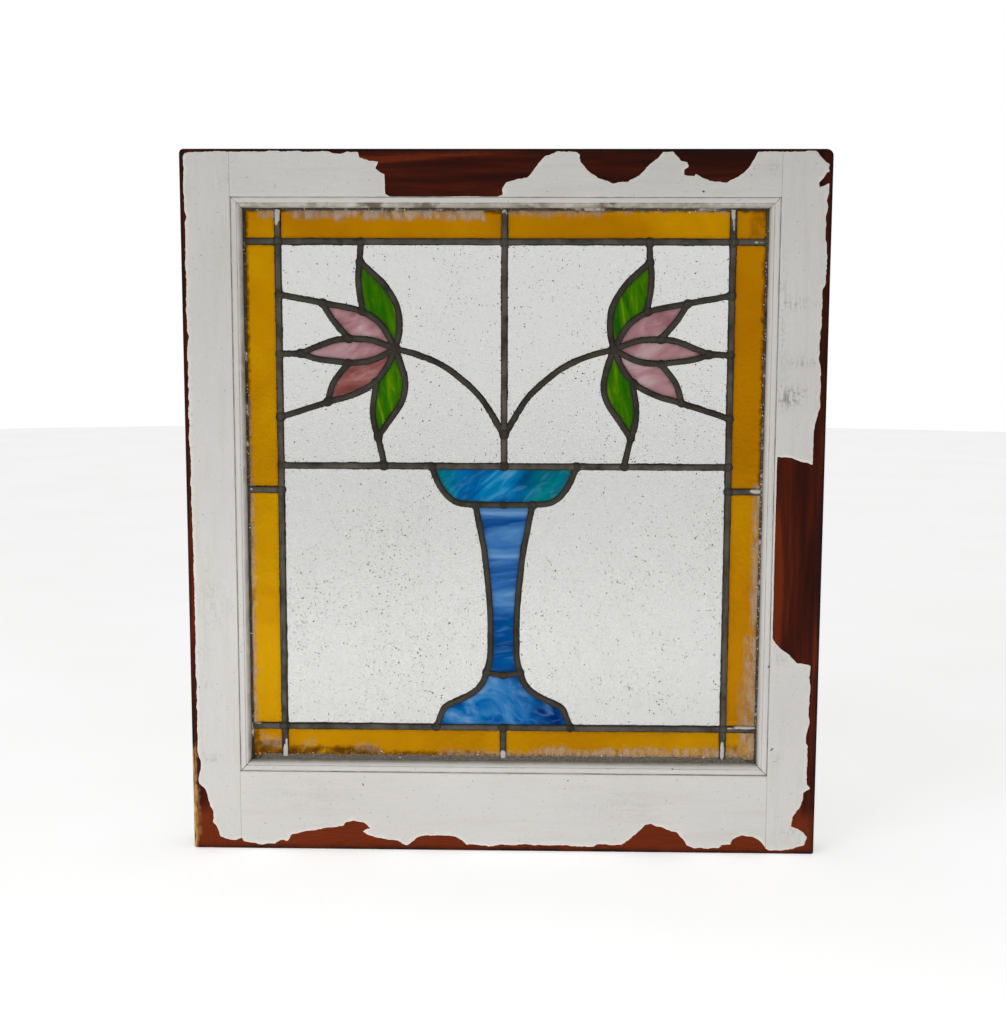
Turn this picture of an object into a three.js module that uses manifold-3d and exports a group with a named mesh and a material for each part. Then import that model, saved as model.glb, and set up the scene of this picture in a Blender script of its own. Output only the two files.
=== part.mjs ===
// A leaded stained glass panel in an old moulded wooden window sash.
//
// Millimetres, +Z up, X to the right as seen from the moulded room side, which faces -Y.
// The origin is in the middle of the sash's bottom edge.

import * as THREE from "three";
import { mergeVertices } from "three/addons/utils/BufferGeometryUtils.js";
import Module from "manifold-3d";

const wasm = await Module();
wasm.setup();

// ---------------------------------------------------------------- driving dimensions

// The sash: two full-height stiles with two rails tenoned between them.
const WIDTH = 584;
const HEIGHT = 648;
const THICKNESS = 35;
const STILE_FACE = 45;
const TOP_RAIL_FACE = 42;
const BOTTOM_RAIL_FACE = 75;
const TENON = { thickness: 11.5, front: -3, shoulder: 12, root: 2, edge: 0.3 };
const WORN_CORNER = { topLeft: 4, topRight: 6, bottomLeft: 2, bottomRight: 2 };

// The moulding on the members' inner edges: a quirk step, a quarter round and a square edge.
const MOULDING = { width: 9, depth: 12, quirk: 1.6, round: 6, root: 1 };

// The leaded panel, which lies against the back of the moulding.
const PANEL_CLEARANCE = 1.5;
const CAME = { thickness: 6, flange: 1.2, heart: 1.6 };
const BORDER_FACE = 5.6;
const CURVE_FACE = 5;
const EDGE_CAME_FACE = 9.5;
const GLASS_THICKNESS = 3;

// Parts that touch keep this gap, and cuts run past what they cut by this much.
const GAP = 0.3;
const OVERRUN = 1;

// Curves are sampled this finely, then thinned to chords that stray no further than the tolerance.
const CURVE = { samples: 80, tolerance: 0.28 };

// Derived planes and openings.
const FRONT = -THICKNESS / 2;
const BACK = THICKNESS / 2;
const REBATE = {
  left: -WIDTH / 2 + STILE_FACE,
  right: WIDTH / 2 - STILE_FACE,
  bottom: BOTTOM_RAIL_FACE,
  top: HEIGHT - TOP_RAIL_FACE,
};
const REBATE_FLOOR = FRONT + MOULDING.depth;
const PANEL_FRONT = REBATE_FLOOR + GAP;
const PANEL_BACK = PANEL_FRONT + CAME.thickness;
const GLASS_FRONT = (PANEL_FRONT + PANEL_BACK - GLASS_THICKNESS) / 2;
const PUTTY = { width: 7, depth: 11, lip: 1 };

// The lead lines that divide the panel.
const BORDER = { side: 206.5, bottom: 115.7, top: 567.2 };
const MIDDLE_HEIGHT = 362.8;
const SIDE_CAME_HEIGHT = 340.3;
const HUB = [100, 470.5];

// ---------------------------------------------------------------- solids and outlines

/** A closed three.js geometry as a manifold solid. */
function solid(geometry) {
  geometry.deleteAttribute("normal");
  geometry.deleteAttribute("uv");
  const merged = mergeVertices(geometry, 1e-4);
  const mesh = new wasm.Mesh({
    numProp: 3,
    vertProperties: Float32Array.from(merged.attributes.position.array),
    triVerts: Uint32Array.from(merged.index.array),
  });
  return new wasm.Manifold(mesh);
}

/** A manifold solid as a three.js geometry. */
function geometryOf(body) {
  const mesh = body.getMesh();
  const geometry = new THREE.BufferGeometry();
  geometry.setAttribute("position", new THREE.BufferAttribute(mesh.vertProperties, 3));
  geometry.setIndex(new THREE.BufferAttribute(mesh.triVerts, 1));
  geometry.computeVertexNormals();
  return geometry;
}

/** The solid between an outline in X and Z at two depths. */
function slab(shape, front, back, curveSegments = 3) {
  const geometry = new THREE.ExtrudeGeometry(shape, {
    depth: back - front,
    bevelEnabled: false,
    curveSegments,
  });
  geometry.rotateX(Math.PI / 2);
  geometry.translate(0, back, 0);
  return solid(geometry);
}

/** A box from its six limits. */
function block([left, right], [front, back], [bottom, top]) {
  const geometry = new THREE.BoxGeometry(right - left, back - front, top - bottom);
  geometry.translate((left + right) / 2, (front + back) / 2, (bottom + top) / 2);
  return solid(geometry);
}

/** The largest body of a solid: overlapping cuts can leave chips of no volume beside it. */
function mainBody(whole) {
  const bodies = whole.decompose();
  return bodies.reduce((best, body) => (body.volume() > best.volume() ? body : best));
}

/** A rectangular ring, seen from the front: outer limits, and how far in its hole starts. */
function ring({ left, right, bottom, top }, inset, front, back) {
  const outer = block([left, right], [front, back], [bottom, top]);
  const hole = block(
    [left + inset, right - inset],
    [front - OVERRUN, back + OVERRUN],
    [bottom + inset, top - inset],
  );
  return outer.subtract(hole);
}

/** Limits moved inwards by a distance. */
function shrunk({ left, right, bottom, top }, by) {
  return { left: left + by, right: right - by, bottom: bottom + by, top: top - by };
}

// ---------------------------------------------------------------- mitred bars round the opening

/** The four sides of the opening, each with the turn that carries the bottom side to it. */
const SIDES = {
  bottom: { turn: 0, reach: (REBATE.top - REBATE.bottom) / 2, half: REBATE.right },
  left: { turn: Math.PI / 2, reach: REBATE.right, half: (REBATE.top - REBATE.bottom) / 2 },
  top: { turn: Math.PI, reach: (REBATE.top - REBATE.bottom) / 2, half: REBATE.right },
  right: { turn: -Math.PI / 2, reach: REBATE.right, half: (REBATE.top - REBATE.bottom) / 2 },
};

/**
 * A bar along one side of the opening, with ends cut at 45 degrees. Its section holds points
 * [distance in from the rebate's cheek, depth], and endGap shortens each end along the bar.
 */
function mitredBar(section, side, endGap) {
  const { turn, reach, half } = SIDES[side];
  const shape = new THREE.Shape(section.map(([inward, depth]) => new THREE.Vector2(inward, depth)));
  const geometry = new THREE.ExtrudeGeometry(shape, { depth: 1, bevelEnabled: false });
  const position = geometry.attributes.position;
  for (let i = 0; i < position.count; i++) {
    const inward = position.getX(i);
    const end = position.getZ(i) > 0.5 ? 1 : -1;
    position.setXYZ(i, -end * (half - endGap - inward), position.getY(i), inward - reach);
  }
  geometry.rotateY(turn);
  geometry.translate(0, 0, (REBATE.bottom + REBATE.top) / 2);
  return solid(geometry);
}

/** The moulding's section: it starts a little inside the member that it is worked on. */
function mouldingSection() {
  const { width, quirk, round, root } = MOULDING;
  const steps = 4;
  const points = [
    [-root, FRONT + quirk],
    [-root, REBATE_FLOOR],
    [width, REBATE_FLOOR],
  ];
  const centre = [width - round, FRONT + quirk + round];
  for (let i = 0; i <= steps; i++) {
    const angle = (i / steps) * (Math.PI / 2);
    points.push([centre[0] + round * Math.cos(angle), centre[1] - round * Math.sin(angle)]);
  }
  return points;
}

// ---------------------------------------------------------------- sash

const RAIL_SPAN = {
  top: [REBATE.top, HEIGHT],
  bottom: [0, REBATE.bottom],
};

/** The tenon heights of a rail: a shoulder is left above and below. */
function tenonHeights(rail) {
  const [low, high] = RAIL_SPAN[rail];
  return [low + TENON.shoulder, high - TENON.shoulder];
}

/** One tenon, or with a clearance the mortise for it, through the stile on the given side. */
function tenon(rail, sign, clearance) {
  const [low, high] = tenonHeights(rail);
  const inner = REBATE.right - TENON.root;
  const outer = clearance > 0 ? WIDTH / 2 + OVERRUN : WIDTH / 2 - TENON.edge;
  const ends = [sign * inner, sign * outer].sort((a, b) => a - b);
  const depths = [TENON.front - clearance, TENON.front + TENON.thickness + clearance];
  return block(ends, depths, [low - clearance, high + clearance]);
}

/** A stile: a full-height board with worn outer corners, its moulding and two mortises. */
function stile(side) {
  const sign = side === "left" ? -1 : 1;
  const [radiusTop, radiusBottom] =
    side === "left"
      ? [WORN_CORNER.topLeft, WORN_CORNER.bottomLeft]
      : [WORN_CORNER.topRight, WORN_CORNER.bottomRight];
  const shape = new THREE.Shape();
  const outer = WIDTH / 2;
  const inner = REBATE.right;
  shape.moveTo(inner, 0);
  shape.lineTo(outer - radiusBottom, 0);
  shape.absarc(outer - radiusBottom, radiusBottom, radiusBottom, -Math.PI / 2, 0);
  shape.absarc(outer - radiusTop, HEIGHT - radiusTop, radiusTop, 0, Math.PI / 2);
  shape.lineTo(inner, HEIGHT);
  let board = slab(shape, FRONT, BACK);
  if (sign < 0) {
    board = board.mirror([1, 0, 0]);
  }
  let body = board.add(mitredBar(mouldingSection(), side, 0));
  for (const rail of ["top", "bottom"]) {
    body = body.subtract(tenon(rail, sign, GAP));
  }
  return body;
}

/** A rail: it fits between the stiles, with its moulding mitred to theirs and a tenon each end. */
function rail(name) {
  const depths = [FRONT, BACK];
  const between = [REBATE.left + GAP, REBATE.right - GAP];
  const board = block(between, depths, RAIL_SPAN[name]);
  const moulding = mitredBar(mouldingSection(), name, GAP * Math.SQRT2);
  const reach = block(between, depths, [0, HEIGHT]);
  return board
    .add(moulding)
    .intersect(reach)
    .add(tenon(name, -1, 0))
    .add(tenon(name, 1, 0));
}

/** The putty fillet on one side of the rebate, behind the panel. */
function putty(side) {
  const foot = PANEL_BACK + GAP;
  const section = [
    [GAP, foot],
    [PUTTY.width, foot],
    [PUTTY.width, foot + PUTTY.lip],
    [GAP + PUTTY.lip, foot + PUTTY.depth],
    [GAP, foot + PUTTY.depth],
  ];
  return mitredBar(section, side, GAP);
}

// ---------------------------------------------------------------- lead lines

/** A smooth line through points, as few chords as keep within a small distance of it. */
function smooth(points) {
  const fine = new THREE.SplineCurve(points.map(([x, z]) => new THREE.Vector2(x, z)));
  const samples = fine.getSpacedPoints(CURVE.samples);
  const kept = [samples[0]];
  let start = 0;
  for (let end = 2; end < samples.length; end++) {
    const chord = new THREE.Line3(
      new THREE.Vector3(samples[start].x, samples[start].y, 0),
      new THREE.Vector3(samples[end].x, samples[end].y, 0),
    );
    const nearest = new THREE.Vector3();
    const strays = samples.slice(start + 1, end).some((sample) => {
      const point = new THREE.Vector3(sample.x, sample.y, 0);
      chord.closestPointToPoint(point, true, nearest);
      return nearest.distanceTo(point) > CURVE.tolerance;
    });
    if (strays) {
      start = end - 1;
      kept.push(samples[start]);
    }
  }
  kept.push(samples.at(-1));
  return kept;
}

/** A straight line. */
function straight(from, to) {
  return [new THREE.Vector2(...from), new THREE.Vector2(...to)];
}

/** The same line on the other side of the panel's centre. */
function mirrored(line) {
  return line.map((point) => new THREE.Vector2(-point.x, point.y));
}

/** The straight lines of the border and the middle of the panel. */
function borderLines(edge) {
  const { side, bottom, top } = BORDER;
  return [
    straight([-side, edge.bottom], [-side, edge.top]),
    straight([side, edge.bottom], [side, edge.top]),
    straight([edge.left, bottom], [edge.right, bottom]),
    straight([edge.left, top], [edge.right, top]),
    straight([-side, MIDDLE_HEIGHT], [side, MIDDLE_HEIGHT]),
    straight([0, MIDDLE_HEIGHT], [0, edge.top]),
    straight([0, edge.bottom], [0, bottom]),
    straight([edge.left, SIDE_CAME_HEIGHT], [-side, SIDE_CAME_HEIGHT]),
    straight([side, SIDE_CAME_HEIGHT], [edge.right, SIDE_CAME_HEIGHT]),
  ];
}

/** The right-hand flower: two leaves and three petals round one hub, on a curved stalk. */
function flowerLines() {
  const { side, top } = BORDER;
  const leafTip = [132, 549];
  const upperPetalTip = [166.5, 512];
  const middlePetalTip = [187, 466];
  const lowerPetalTip = [162.5, 421.5];
  const lowerLeafTip = [116.5, 389.5];
  return [
    straight([131, top], leafTip),
    smooth([leafTip, [133.5, 537], [132.5, 522], [129.5, 504.5]]),
    smooth([leafTip, [122, 540.5], [109, 527.5], [99, 511], [96, 495.5], [97, 482], HUB]),
    smooth([[side, 519.5], upperPetalTip, [143.5, 508], [131, 504.5], [121, 499], [111, 490], HUB]),
    smooth([upperPetalTip, [157, 496.5], [142.5, 480]]),
    straight([side, 465.5], middlePetalTip),
    smooth([middlePetalTip, [171.5, 472.5], [156, 478], [141, 479.5], [121, 478], HUB]),
    smooth([middlePetalTip, [171.5, 461], [151.5, 458.5], [141, 457.5], [121, 460], HUB]),
    smooth([[side, 407.5], lowerPetalTip, [141, 427.8], [121, 437.8], [108.5, 452.6], HUB]),
    smooth([lowerPetalTip, [157, 439.5], [143, 457.5]]),
    smooth([[117.5, 439.5], [121, 417], [120, 402], lowerLeafTip]),
    smooth([HUB, [94, 453.5], [91, 437.5], [94.5, 421.5], [106, 404.5], lowerLeafTip]),
    smooth([lowerLeafTip, [112.5, 372], [111, MIDDLE_HEIGHT]]),
    smooth([HUB, [81, 465.5], [60.5, 457.5], [40.5, 444], [20, 424], [0, 391.5]]),
  ];
}

/** The right-hand side of the chalice vase: its bowl, then its column and foot in one sweep. */
function vaseSideLines() {
  const bowlFloor = 327;
  const bowl = [[67, MIDDLE_HEIGHT], [61.6, 349], [55.6, 339], [48, 331.7], [36.5, 327.8]];
  const column = [[26.4, bowlFloor], [21.2, 300], [17.4, 278], [12.9, 232], [12.2, 200], [12.9, 181]];
  const foot = [[16.9, 165.1], [20.9, 156.6], [27, 150.1], [37.2, 143.8], [50.3, 137.8], [56.7, 132.4]];
  return [
    smooth([...bowl, [0, bowlFloor]]),
    smooth([...column, ...foot, [63, BORDER.bottom]]),
    straight([15, 168], [0, 166]),
  ];
}

/** The outline of a strip of constant width round a line, with mitred turns. */
function strip(line, width) {
  const last = line.length - 1;
  const offset = (sign) =>
    line.map((point, i) => {
      const into = point.clone().sub(line[Math.max(i - 1, 0)]).normalize();
      const out = line[Math.min(i + 1, last)].clone().sub(point).normalize();
      const along = into.clone().add(out).normalize();
      const normal = new THREE.Vector2(-along.y, along.x);
      const straightness = i === 0 || i === last ? 1 : along.dot(out);
      return point.clone().addScaledVector(normal, (sign * width) / 2 / straightness);
    });
  return new THREE.Shape([...offset(1), ...offset(-1).reverse()]);
}

// ---------------------------------------------------------------- leaded panel

const PANEL = shrunk(REBATE, PANEL_CLEARANCE);
const EDGE_HEART = shrunk(PANEL, CAME.heart / 2);
const CURVES = [...flowerLines(), ...vaseSideLines()];
const LEAD_LINES = [
  ...borderLines(EDGE_HEART).map((line) => ({ line, face: BORDER_FACE })),
  ...CURVES.map((line) => ({ line, face: CURVE_FACE })),
  ...CURVES.map((line) => ({ line: mirrored(line), face: CURVE_FACE })),
];

/** The lead: every came's two flanges and heart, soldered into one lattice. */
function leadLattice() {
  const frontFlange = [PANEL_FRONT, PANEL_FRONT + CAME.flange];
  const backFlange = [PANEL_BACK - CAME.flange, PANEL_BACK];
  const heart = [PANEL_FRONT + CAME.flange / 2, PANEL_BACK - CAME.flange / 2];
  const pieces = [
    ring(PANEL, EDGE_CAME_FACE, ...frontFlange),
    ring(PANEL, EDGE_CAME_FACE, ...backFlange),
    ring(PANEL, CAME.heart, ...heart),
  ];
  for (const { line, face } of LEAD_LINES) {
    pieces.push(slab(strip(line, face), ...frontFlange));
    pieces.push(slab(strip(line, face), ...backFlange));
    pieces.push(slab(strip(line, CAME.heart), ...heart));
  }
  return mainBody(pieces.reduce((whole, piece) => whole.add(piece)));
}

/** The glass: one sheet, cut along every lead line to clear the hearts. */
function cutGlass() {
  const sheetEdge = shrunk(PANEL, CAME.heart + GAP);
  const depths = [GLASS_FRONT, GLASS_FRONT + GLASS_THICKNESS];
  let sheet = block([sheetEdge.left, sheetEdge.right], depths, [sheetEdge.bottom, sheetEdge.top]);
  for (const { line } of LEAD_LINES) {
    const cut = slab(strip(line, CAME.heart + 2 * GAP), depths[0] - OVERRUN, depths[1] + OVERRUN);
    sheet = sheet.subtract(cut);
  }
  return sheet.decompose();
}

const BORDER_MIDDLE = {
  side: (BORDER.side + PANEL.right) / 2,
  bottom: (BORDER.bottom + PANEL.bottom) / 2,
  top: (BORDER.top + PANEL.top) / 2,
};

/** A point inside each piece of glass on the right-hand half, with its colour. */
const PAIRED_GLASS = {
  amber_corner_top: ["amber", BORDER_MIDDLE.side, BORDER_MIDDLE.top],
  amber_corner_bottom: ["amber", BORDER_MIDDLE.side, BORDER_MIDDLE.bottom],
  amber_top: ["amber", 100, BORDER_MIDDLE.top],
  amber_bottom: ["amber", 100, BORDER_MIDDLE.bottom],
  amber_side_upper: ["amber", BORDER_MIDDLE.side, 450],
  amber_side_lower: ["amber", BORDER_MIDDLE.side, 230],
  clear_above_stalk: ["clear", 50, 520],
  clear_under_stalk: ["clear", 50, 400],
  clear_above_petals: ["clear", 170, 545],
  clear_between_upper_petals: ["clear", 185, 492],
  clear_between_lower_petals: ["clear", 185, 440],
  clear_below_petals: ["clear", 160, 390],
  clear_beside_vase: ["clear", 120, 250],
  leaf_upper: ["green", 112, 515],
  leaf_lower: ["green", 105, 425],
  petal_upper: ["pink", 135, 493],
  petal_middle: ["pink", 140, 468.5],
  petal_lower: ["pink", 135, 446],
};

/** A point inside each piece of glass on the centre line, with its colour. */
const CENTRE_GLASS = {
  vase_bowl: ["blue", 0, 345],
  vase_column: ["blue", 0, 250],
  vase_foot: ["blue", 0, 140],
};

/** Every piece of glass by name, as its colour and a point inside it. */
function glassPoints() {
  const named = Object.entries(PAIRED_GLASS).flatMap(([name, [colour, x, z]]) => [
    [`${name}_left`, colour, -x, z],
    [`${name}_right`, colour, x, z],
  ]);
  const centred = Object.entries(CENTRE_GLASS).map(([name, place]) => [name, ...place]);
  return [...named, ...centred];
}

/** The cut piece that holds a point. */
function pieceAt(cells, x, z) {
  const depths = [GLASS_FRONT, GLASS_FRONT + GLASS_THICKNESS];
  const reach = 1;
  const probe = block([x - reach, x + reach], depths, [z - reach, z + reach]);
  return cells.find((cell) => !cell.intersect(probe).isEmpty());
}

// ---------------------------------------------------------------- materials

const MATERIALS = {
  wood: { color: 0xd2cfcc, roughness: 0.6 },
  lead: { color: 0x3c3731, roughness: 0.65, metalness: 0.5 },
  putty: { color: 0xb5aea2, roughness: 0.85 },
  amber: { color: 0xb47a05, roughness: 0.2 },
  clear: { color: 0xdfe4e2, roughness: 0.1 },
  green: { color: 0x4a8a14, roughness: 0.2 },
  pink: { color: 0xae808a, roughness: 0.25 },
  blue: { color: 0x1f6a9e, roughness: 0.25 },
};

const materials = Object.fromEntries(
  Object.entries(MATERIALS).map(([name, look]) => [name, new THREE.MeshStandardMaterial(look)]),
);

// ---------------------------------------------------------------- assembly

const windowSash = new THREE.Group();
windowSash.name = "stained_glass_window";

function addMesh(parent, name, body, material) {
  const mesh = new THREE.Mesh(geometryOf(body), materials[material]);
  mesh.name = name;
  parent.add(mesh);
}

const sash = new THREE.Group();
addMesh(sash, "sash_left_stile", stile("left"), "wood");
addMesh(sash, "sash_right_stile", stile("right"), "wood");
addMesh(sash, "sash_top_rail", rail("top"), "wood");
addMesh(sash, "sash_bottom_rail", rail("bottom"), "wood");
windowSash.add(sash);

const panel = new THREE.Group();
addMesh(panel, "lead_came_lattice", leadLattice(), "lead");
const cells = cutGlass();
for (const [name, colour, x, z] of glassPoints()) {
  addMesh(panel, name, pieceAt(cells, x, z), colour);
}
windowSash.add(panel);

const glazing = new THREE.Group();
for (const side of Object.keys(SIDES)) {
  addMesh(glazing, `glazing_putty_${side}`, putty(side), "putty");
}
windowSash.add(glazing);

export default windowSash;
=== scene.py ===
"""Looks for an old leaded stained glass window in a flaked, painted wooden sash.

Lengths are millimetres in the row frame: X to the right, Y away from the moulded room side, Z up,
with the origin in the middle of the sash's bottom edge. Meshes turn into metres as they are made.
"""

import math

import bpy
import numpy as np
from mathutils import Matrix, Vector, kdtree
from mathutils.geometry import delaunay_2d_cdt


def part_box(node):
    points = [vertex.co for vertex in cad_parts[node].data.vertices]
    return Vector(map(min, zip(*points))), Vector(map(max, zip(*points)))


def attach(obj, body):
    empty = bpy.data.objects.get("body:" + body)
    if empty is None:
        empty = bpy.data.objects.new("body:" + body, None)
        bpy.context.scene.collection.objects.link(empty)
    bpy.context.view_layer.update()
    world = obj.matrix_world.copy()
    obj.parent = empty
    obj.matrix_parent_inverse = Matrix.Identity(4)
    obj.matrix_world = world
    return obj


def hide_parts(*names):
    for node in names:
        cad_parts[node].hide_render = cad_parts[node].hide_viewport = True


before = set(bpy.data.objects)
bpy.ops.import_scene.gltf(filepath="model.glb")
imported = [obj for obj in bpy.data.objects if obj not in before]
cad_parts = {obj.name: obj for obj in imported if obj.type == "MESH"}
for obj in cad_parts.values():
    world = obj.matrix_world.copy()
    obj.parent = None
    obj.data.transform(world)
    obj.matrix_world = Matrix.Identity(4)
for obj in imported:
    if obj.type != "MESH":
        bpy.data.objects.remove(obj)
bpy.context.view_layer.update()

MM = 0.001


def limits(node):
    """The lowest and highest corner of a CAD node, in millimetres."""
    low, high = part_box(node)
    return np.array(low) / MM, np.array(high) / MM


# ---------------------------------------------------------------- sizes, from the frame

low, high = limits("sash_right_stile")
HALF_WIDTH, HEIGHT = high[0], high[2]
FRONT, BACK = low[1], high[1]
SIGHT = {"right": low[0], "bottom": limits("sash_bottom_rail")[1][2]}
SIGHT["top"] = limits("sash_top_rail")[0][2]
MOULDING_WIDTH = 9.0
REBATE = {
    "left": -SIGHT["right"] - MOULDING_WIDTH,
    "right": SIGHT["right"] + MOULDING_WIDTH,
    "bottom": SIGHT["bottom"] - MOULDING_WIDTH,
    "top": SIGHT["top"] + MOULDING_WIDTH,
}
low, high = limits("lead_came_lattice")
PANEL = {"left": low[0], "right": high[0], "bottom": low[2], "top": high[2]}
PANEL_FRONT, PANEL_BACK = low[1], high[1]
PANEL_MIDDLE = (PANEL_FRONT + PANEL_BACK) / 2
low, high = limits("clear_beside_vase_left")
GLASS_FRONT, GLASS_BACK = low[1], high[1]
MOULDING_DEPTH = 12.0
QUIRK = 1.6
OVOLO = 6.0
TENON_DEPTHS = (-3.0, 8.5)
TENON_SHOULDER = 12.0
TENON_HEIGHTS = (
    (TENON_SHOULDER, REBATE["bottom"] - TENON_SHOULDER),
    (REBATE["top"] + TENON_SHOULDER, HEIGHT - TENON_SHOULDER),
)
MORTISE_CLEARANCE = 0.3
WORN_CORNER = {(-1, 1): 4.0, (1, 1): 6.0, (-1, -1): 2.0, (1, -1): 2.0}
HEART = 0.8
# A grey tint, darker than clear glass: painted shade that stands in for the shaded wall seen through the
# panes.
CLEAR_COLOUR = (0.66, 0.665, 0.645)
BORDER_HALF = 2.8
CURVE_HALF = 2.5
EDGE_CAME = 9.5


# ---------------------------------------------------------------- small tools


def srgb(red, green, blue):
    """An sRGB colour, 0 to 255, as linear RGBA."""
    linear = []
    for value in (red, green, blue):
        share = value / 255
        linear.append(share / 12.92 if share <= 0.04045 else ((share + 0.055) / 1.055) ** 2.4)
    return (*linear, 1.0)


def lattice_noise(x, z, cell, seed):
    """Smooth seeded noise from -1 to 1, with one random value at each corner of its cells."""
    table = np.random.default_rng(seed).uniform(-1, 1, (128, 128))
    u, v = np.asarray(x) / cell, np.asarray(z) / cell
    i, j = np.floor(u).astype(int), np.floor(v).astype(int)
    s, t = u - i, v - j
    s, t = s * s * (3 - 2 * s), t * t * (3 - 2 * t)
    corner = [table[(i + a) % 128, (j + b) % 128] for a in (0, 1) for b in (0, 1)]
    return (corner[0] * (1 - t) + corner[1] * t) * (1 - s) + (corner[2] * (1 - t) + corner[3] * t) * s


def resampled(line, step):
    """A polyline with its points about one step apart."""
    line = np.asarray(line, float)
    along = np.concatenate([[0], np.cumsum(np.linalg.norm(np.diff(line, axis=0), axis=1))])
    places = np.linspace(0, along[-1], max(2, int(round(along[-1] / step)) + 1))
    return np.stack([np.interp(places, along, line[:, k]) for k in (0, 1)], axis=1)


def smooth(points, step=0.5):
    """The Catmull-Rom curve through points."""
    points = np.array(points, float)
    padded = np.vstack([points[:1], points, points[-1:]])
    stretches = []
    t = np.linspace(0, 1, 24, endpoint=False)[:, None]
    for a, b, c, d in zip(padded, padded[1:], padded[2:], padded[3:]):
        leave, arrive = (c - a) / 2, (d - b) / 2
        cubic = 2 * b - 2 * c + leave + arrive
        square = -3 * b + 3 * c - 2 * leave - arrive
        stretches.append(cubic * t**3 + square * t**2 + leave * t + b)
    stretches.append(points[-1:])
    return resampled(np.vstack(stretches), step)


def straight(start, end, step=0.5):
    """A straight line."""
    return resampled([start, end], step)


def normals_of(line):
    """The unit vector across a polyline at each of its points."""
    along = np.gradient(line, axis=0)
    along /= np.linalg.norm(along, axis=1)[:, None] + 1e-12
    return np.stack([-along[:, 1], along[:, 0]], axis=1)


def inside(points, outline):
    """Which points lie inside a closed outline."""
    x, z = points[:, 0], points[:, 1]
    within = np.zeros(len(points), bool)
    for (x0, z0), (x1, z1) in zip(outline, np.roll(outline, -1, axis=0)):
        if z0 != z1:
            crosses = (z0 > z) != (z1 > z)
            within ^= crosses & (x < (x1 - x0) * (z - z0) / (z1 - z0) + x0)
    return within


def nearest(points, others):
    """The distance from each point to the nearest of the others."""
    tree = kdtree.KDTree(len(others))
    for index, (x, z) in enumerate(others):
        tree.insert((x, z, 0), index)
    tree.balance()
    return np.array([tree.find((x, z, 0))[2] for x, z in points])


def tube_faces(rings, count):
    """The faces of a closed tube: rings of count points, one after the other, with both ends capped."""
    faces = []
    for ring in range(rings - 1):
        for k in range(count):
            a, b = ring * count + k, ring * count + (k + 1) % count
            faces.append((a, b, b + count, a + count))
    faces.append(tuple(range(count - 1, -1, -1)))
    faces.append(tuple(range((rings - 1) * count, rings * count)))
    return faces


def signed_volume(points, faces):
    """The volume inside closed faces: negative where they face inwards."""
    fans = [(f[0], f[k], f[k + 1]) for f in faces for k in range(1, len(f) - 1)]
    a, b, c = (points[[fan[k] for fan in fans]] for k in range(3))
    return float(np.einsum("ij,ij->i", a, np.cross(b, c)).sum()) / 6


class Shells:
    """Closed shells gathered into one piece, with marks on their points for the materials to read."""

    def __init__(self):
        self.points, self.faces, self.kinds, self.marks = [], [], [], {}
        self.count = 0

    def add(self, points, faces, kind=0, **marks):
        """One closed shell. kind is a material's place in the list, or one for each face."""
        points = np.asarray(points, float)
        faces = [tuple(int(i) for i in face) for face in faces]
        if signed_volume(points, faces) < 0:
            faces = [face[::-1] for face in faces]
        self.points.append(points)
        self.faces += [tuple(i + self.count for i in face) for face in faces]
        self.kinds += [kind] * len(faces) if np.isscalar(kind) else list(kind)
        for name, values in marks.items():
            stored = self.marks.setdefault(name, [])
            stored.append((self.count, np.broadcast_to(values, len(points))))
        self.count += len(points)

    def piece(self, name, slot, materials, nodes=(), sharp=40):
        """The Blender object, riding on the sash and standing for the CAD nodes."""
        mesh = bpy.data.meshes.new(name)
        points = np.vstack(self.points) * MM
        mesh.from_pydata(points.tolist(), [], self.faces)
        for material in materials:
            mesh.materials.append(material)
        mesh.polygons.foreach_set("material_index", np.array(self.kinds, np.int32))
        mesh.polygons.foreach_set("use_smooth", np.ones(len(self.faces), bool))
        for mark, stored in self.marks.items():
            values = np.zeros(self.count, np.float32)
            for start, part in stored:
                values[start : start + len(part)] = part
            mesh.attributes.new(mark, "FLOAT", "POINT").data.foreach_set("value", values)
        mesh.set_sharp_from_angle(angle=math.radians(sharp))
        mesh.update()
        piece = bpy.data.objects.new(name, mesh)
        bpy.context.scene.collection.objects.link(piece)
        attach(piece, "root")
        if nodes:
            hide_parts(*nodes)
        return piece


# ---------------------------------------------------------------- camera, lights and floor


def add_camera():
    """The photograph's camera, in front and a little to the right, looking slightly down."""
    data = bpy.data.cameras.new("camera")
    data.lens, data.sensor_width = 50, 36
    yaw, pitch, roll = math.radians(1.23), math.radians(6.64), math.radians(-0.18)
    turn = Matrix.Rotation(yaw, 3, "Z") @ Matrix.Rotation(-pitch, 3, "X") @ Matrix.Rotation(roll, 3, "Y")
    right, forward, up = turn.col
    axes = Matrix((right, up, -forward)).transposed().to_4x4()
    camera = bpy.data.objects.new("camera", data)
    camera.matrix_world = Matrix.Translation((0.027, -1.299, 0.476)) @ axes
    bpy.context.scene.collection.objects.link(camera)
    bpy.context.scene.camera = camera


def add_softbox(name, place, aim, width, height, power, shines=True):
    """A soft area light that faces a point, and can be left out of reflections."""
    data = bpy.data.lights.new(name, "AREA")
    data.shape, data.size, data.size_y, data.energy = "RECTANGLE", width, height, power
    light = bpy.data.objects.new(name, data)
    direction = Vector(aim) - Vector(place)
    light.rotation_euler = direction.to_track_quat("-Z", "Y").to_euler()
    light.location = place
    light.visible_glossy = shines
    light.visible_camera = False
    bpy.context.scene.collection.objects.link(light)


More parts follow.
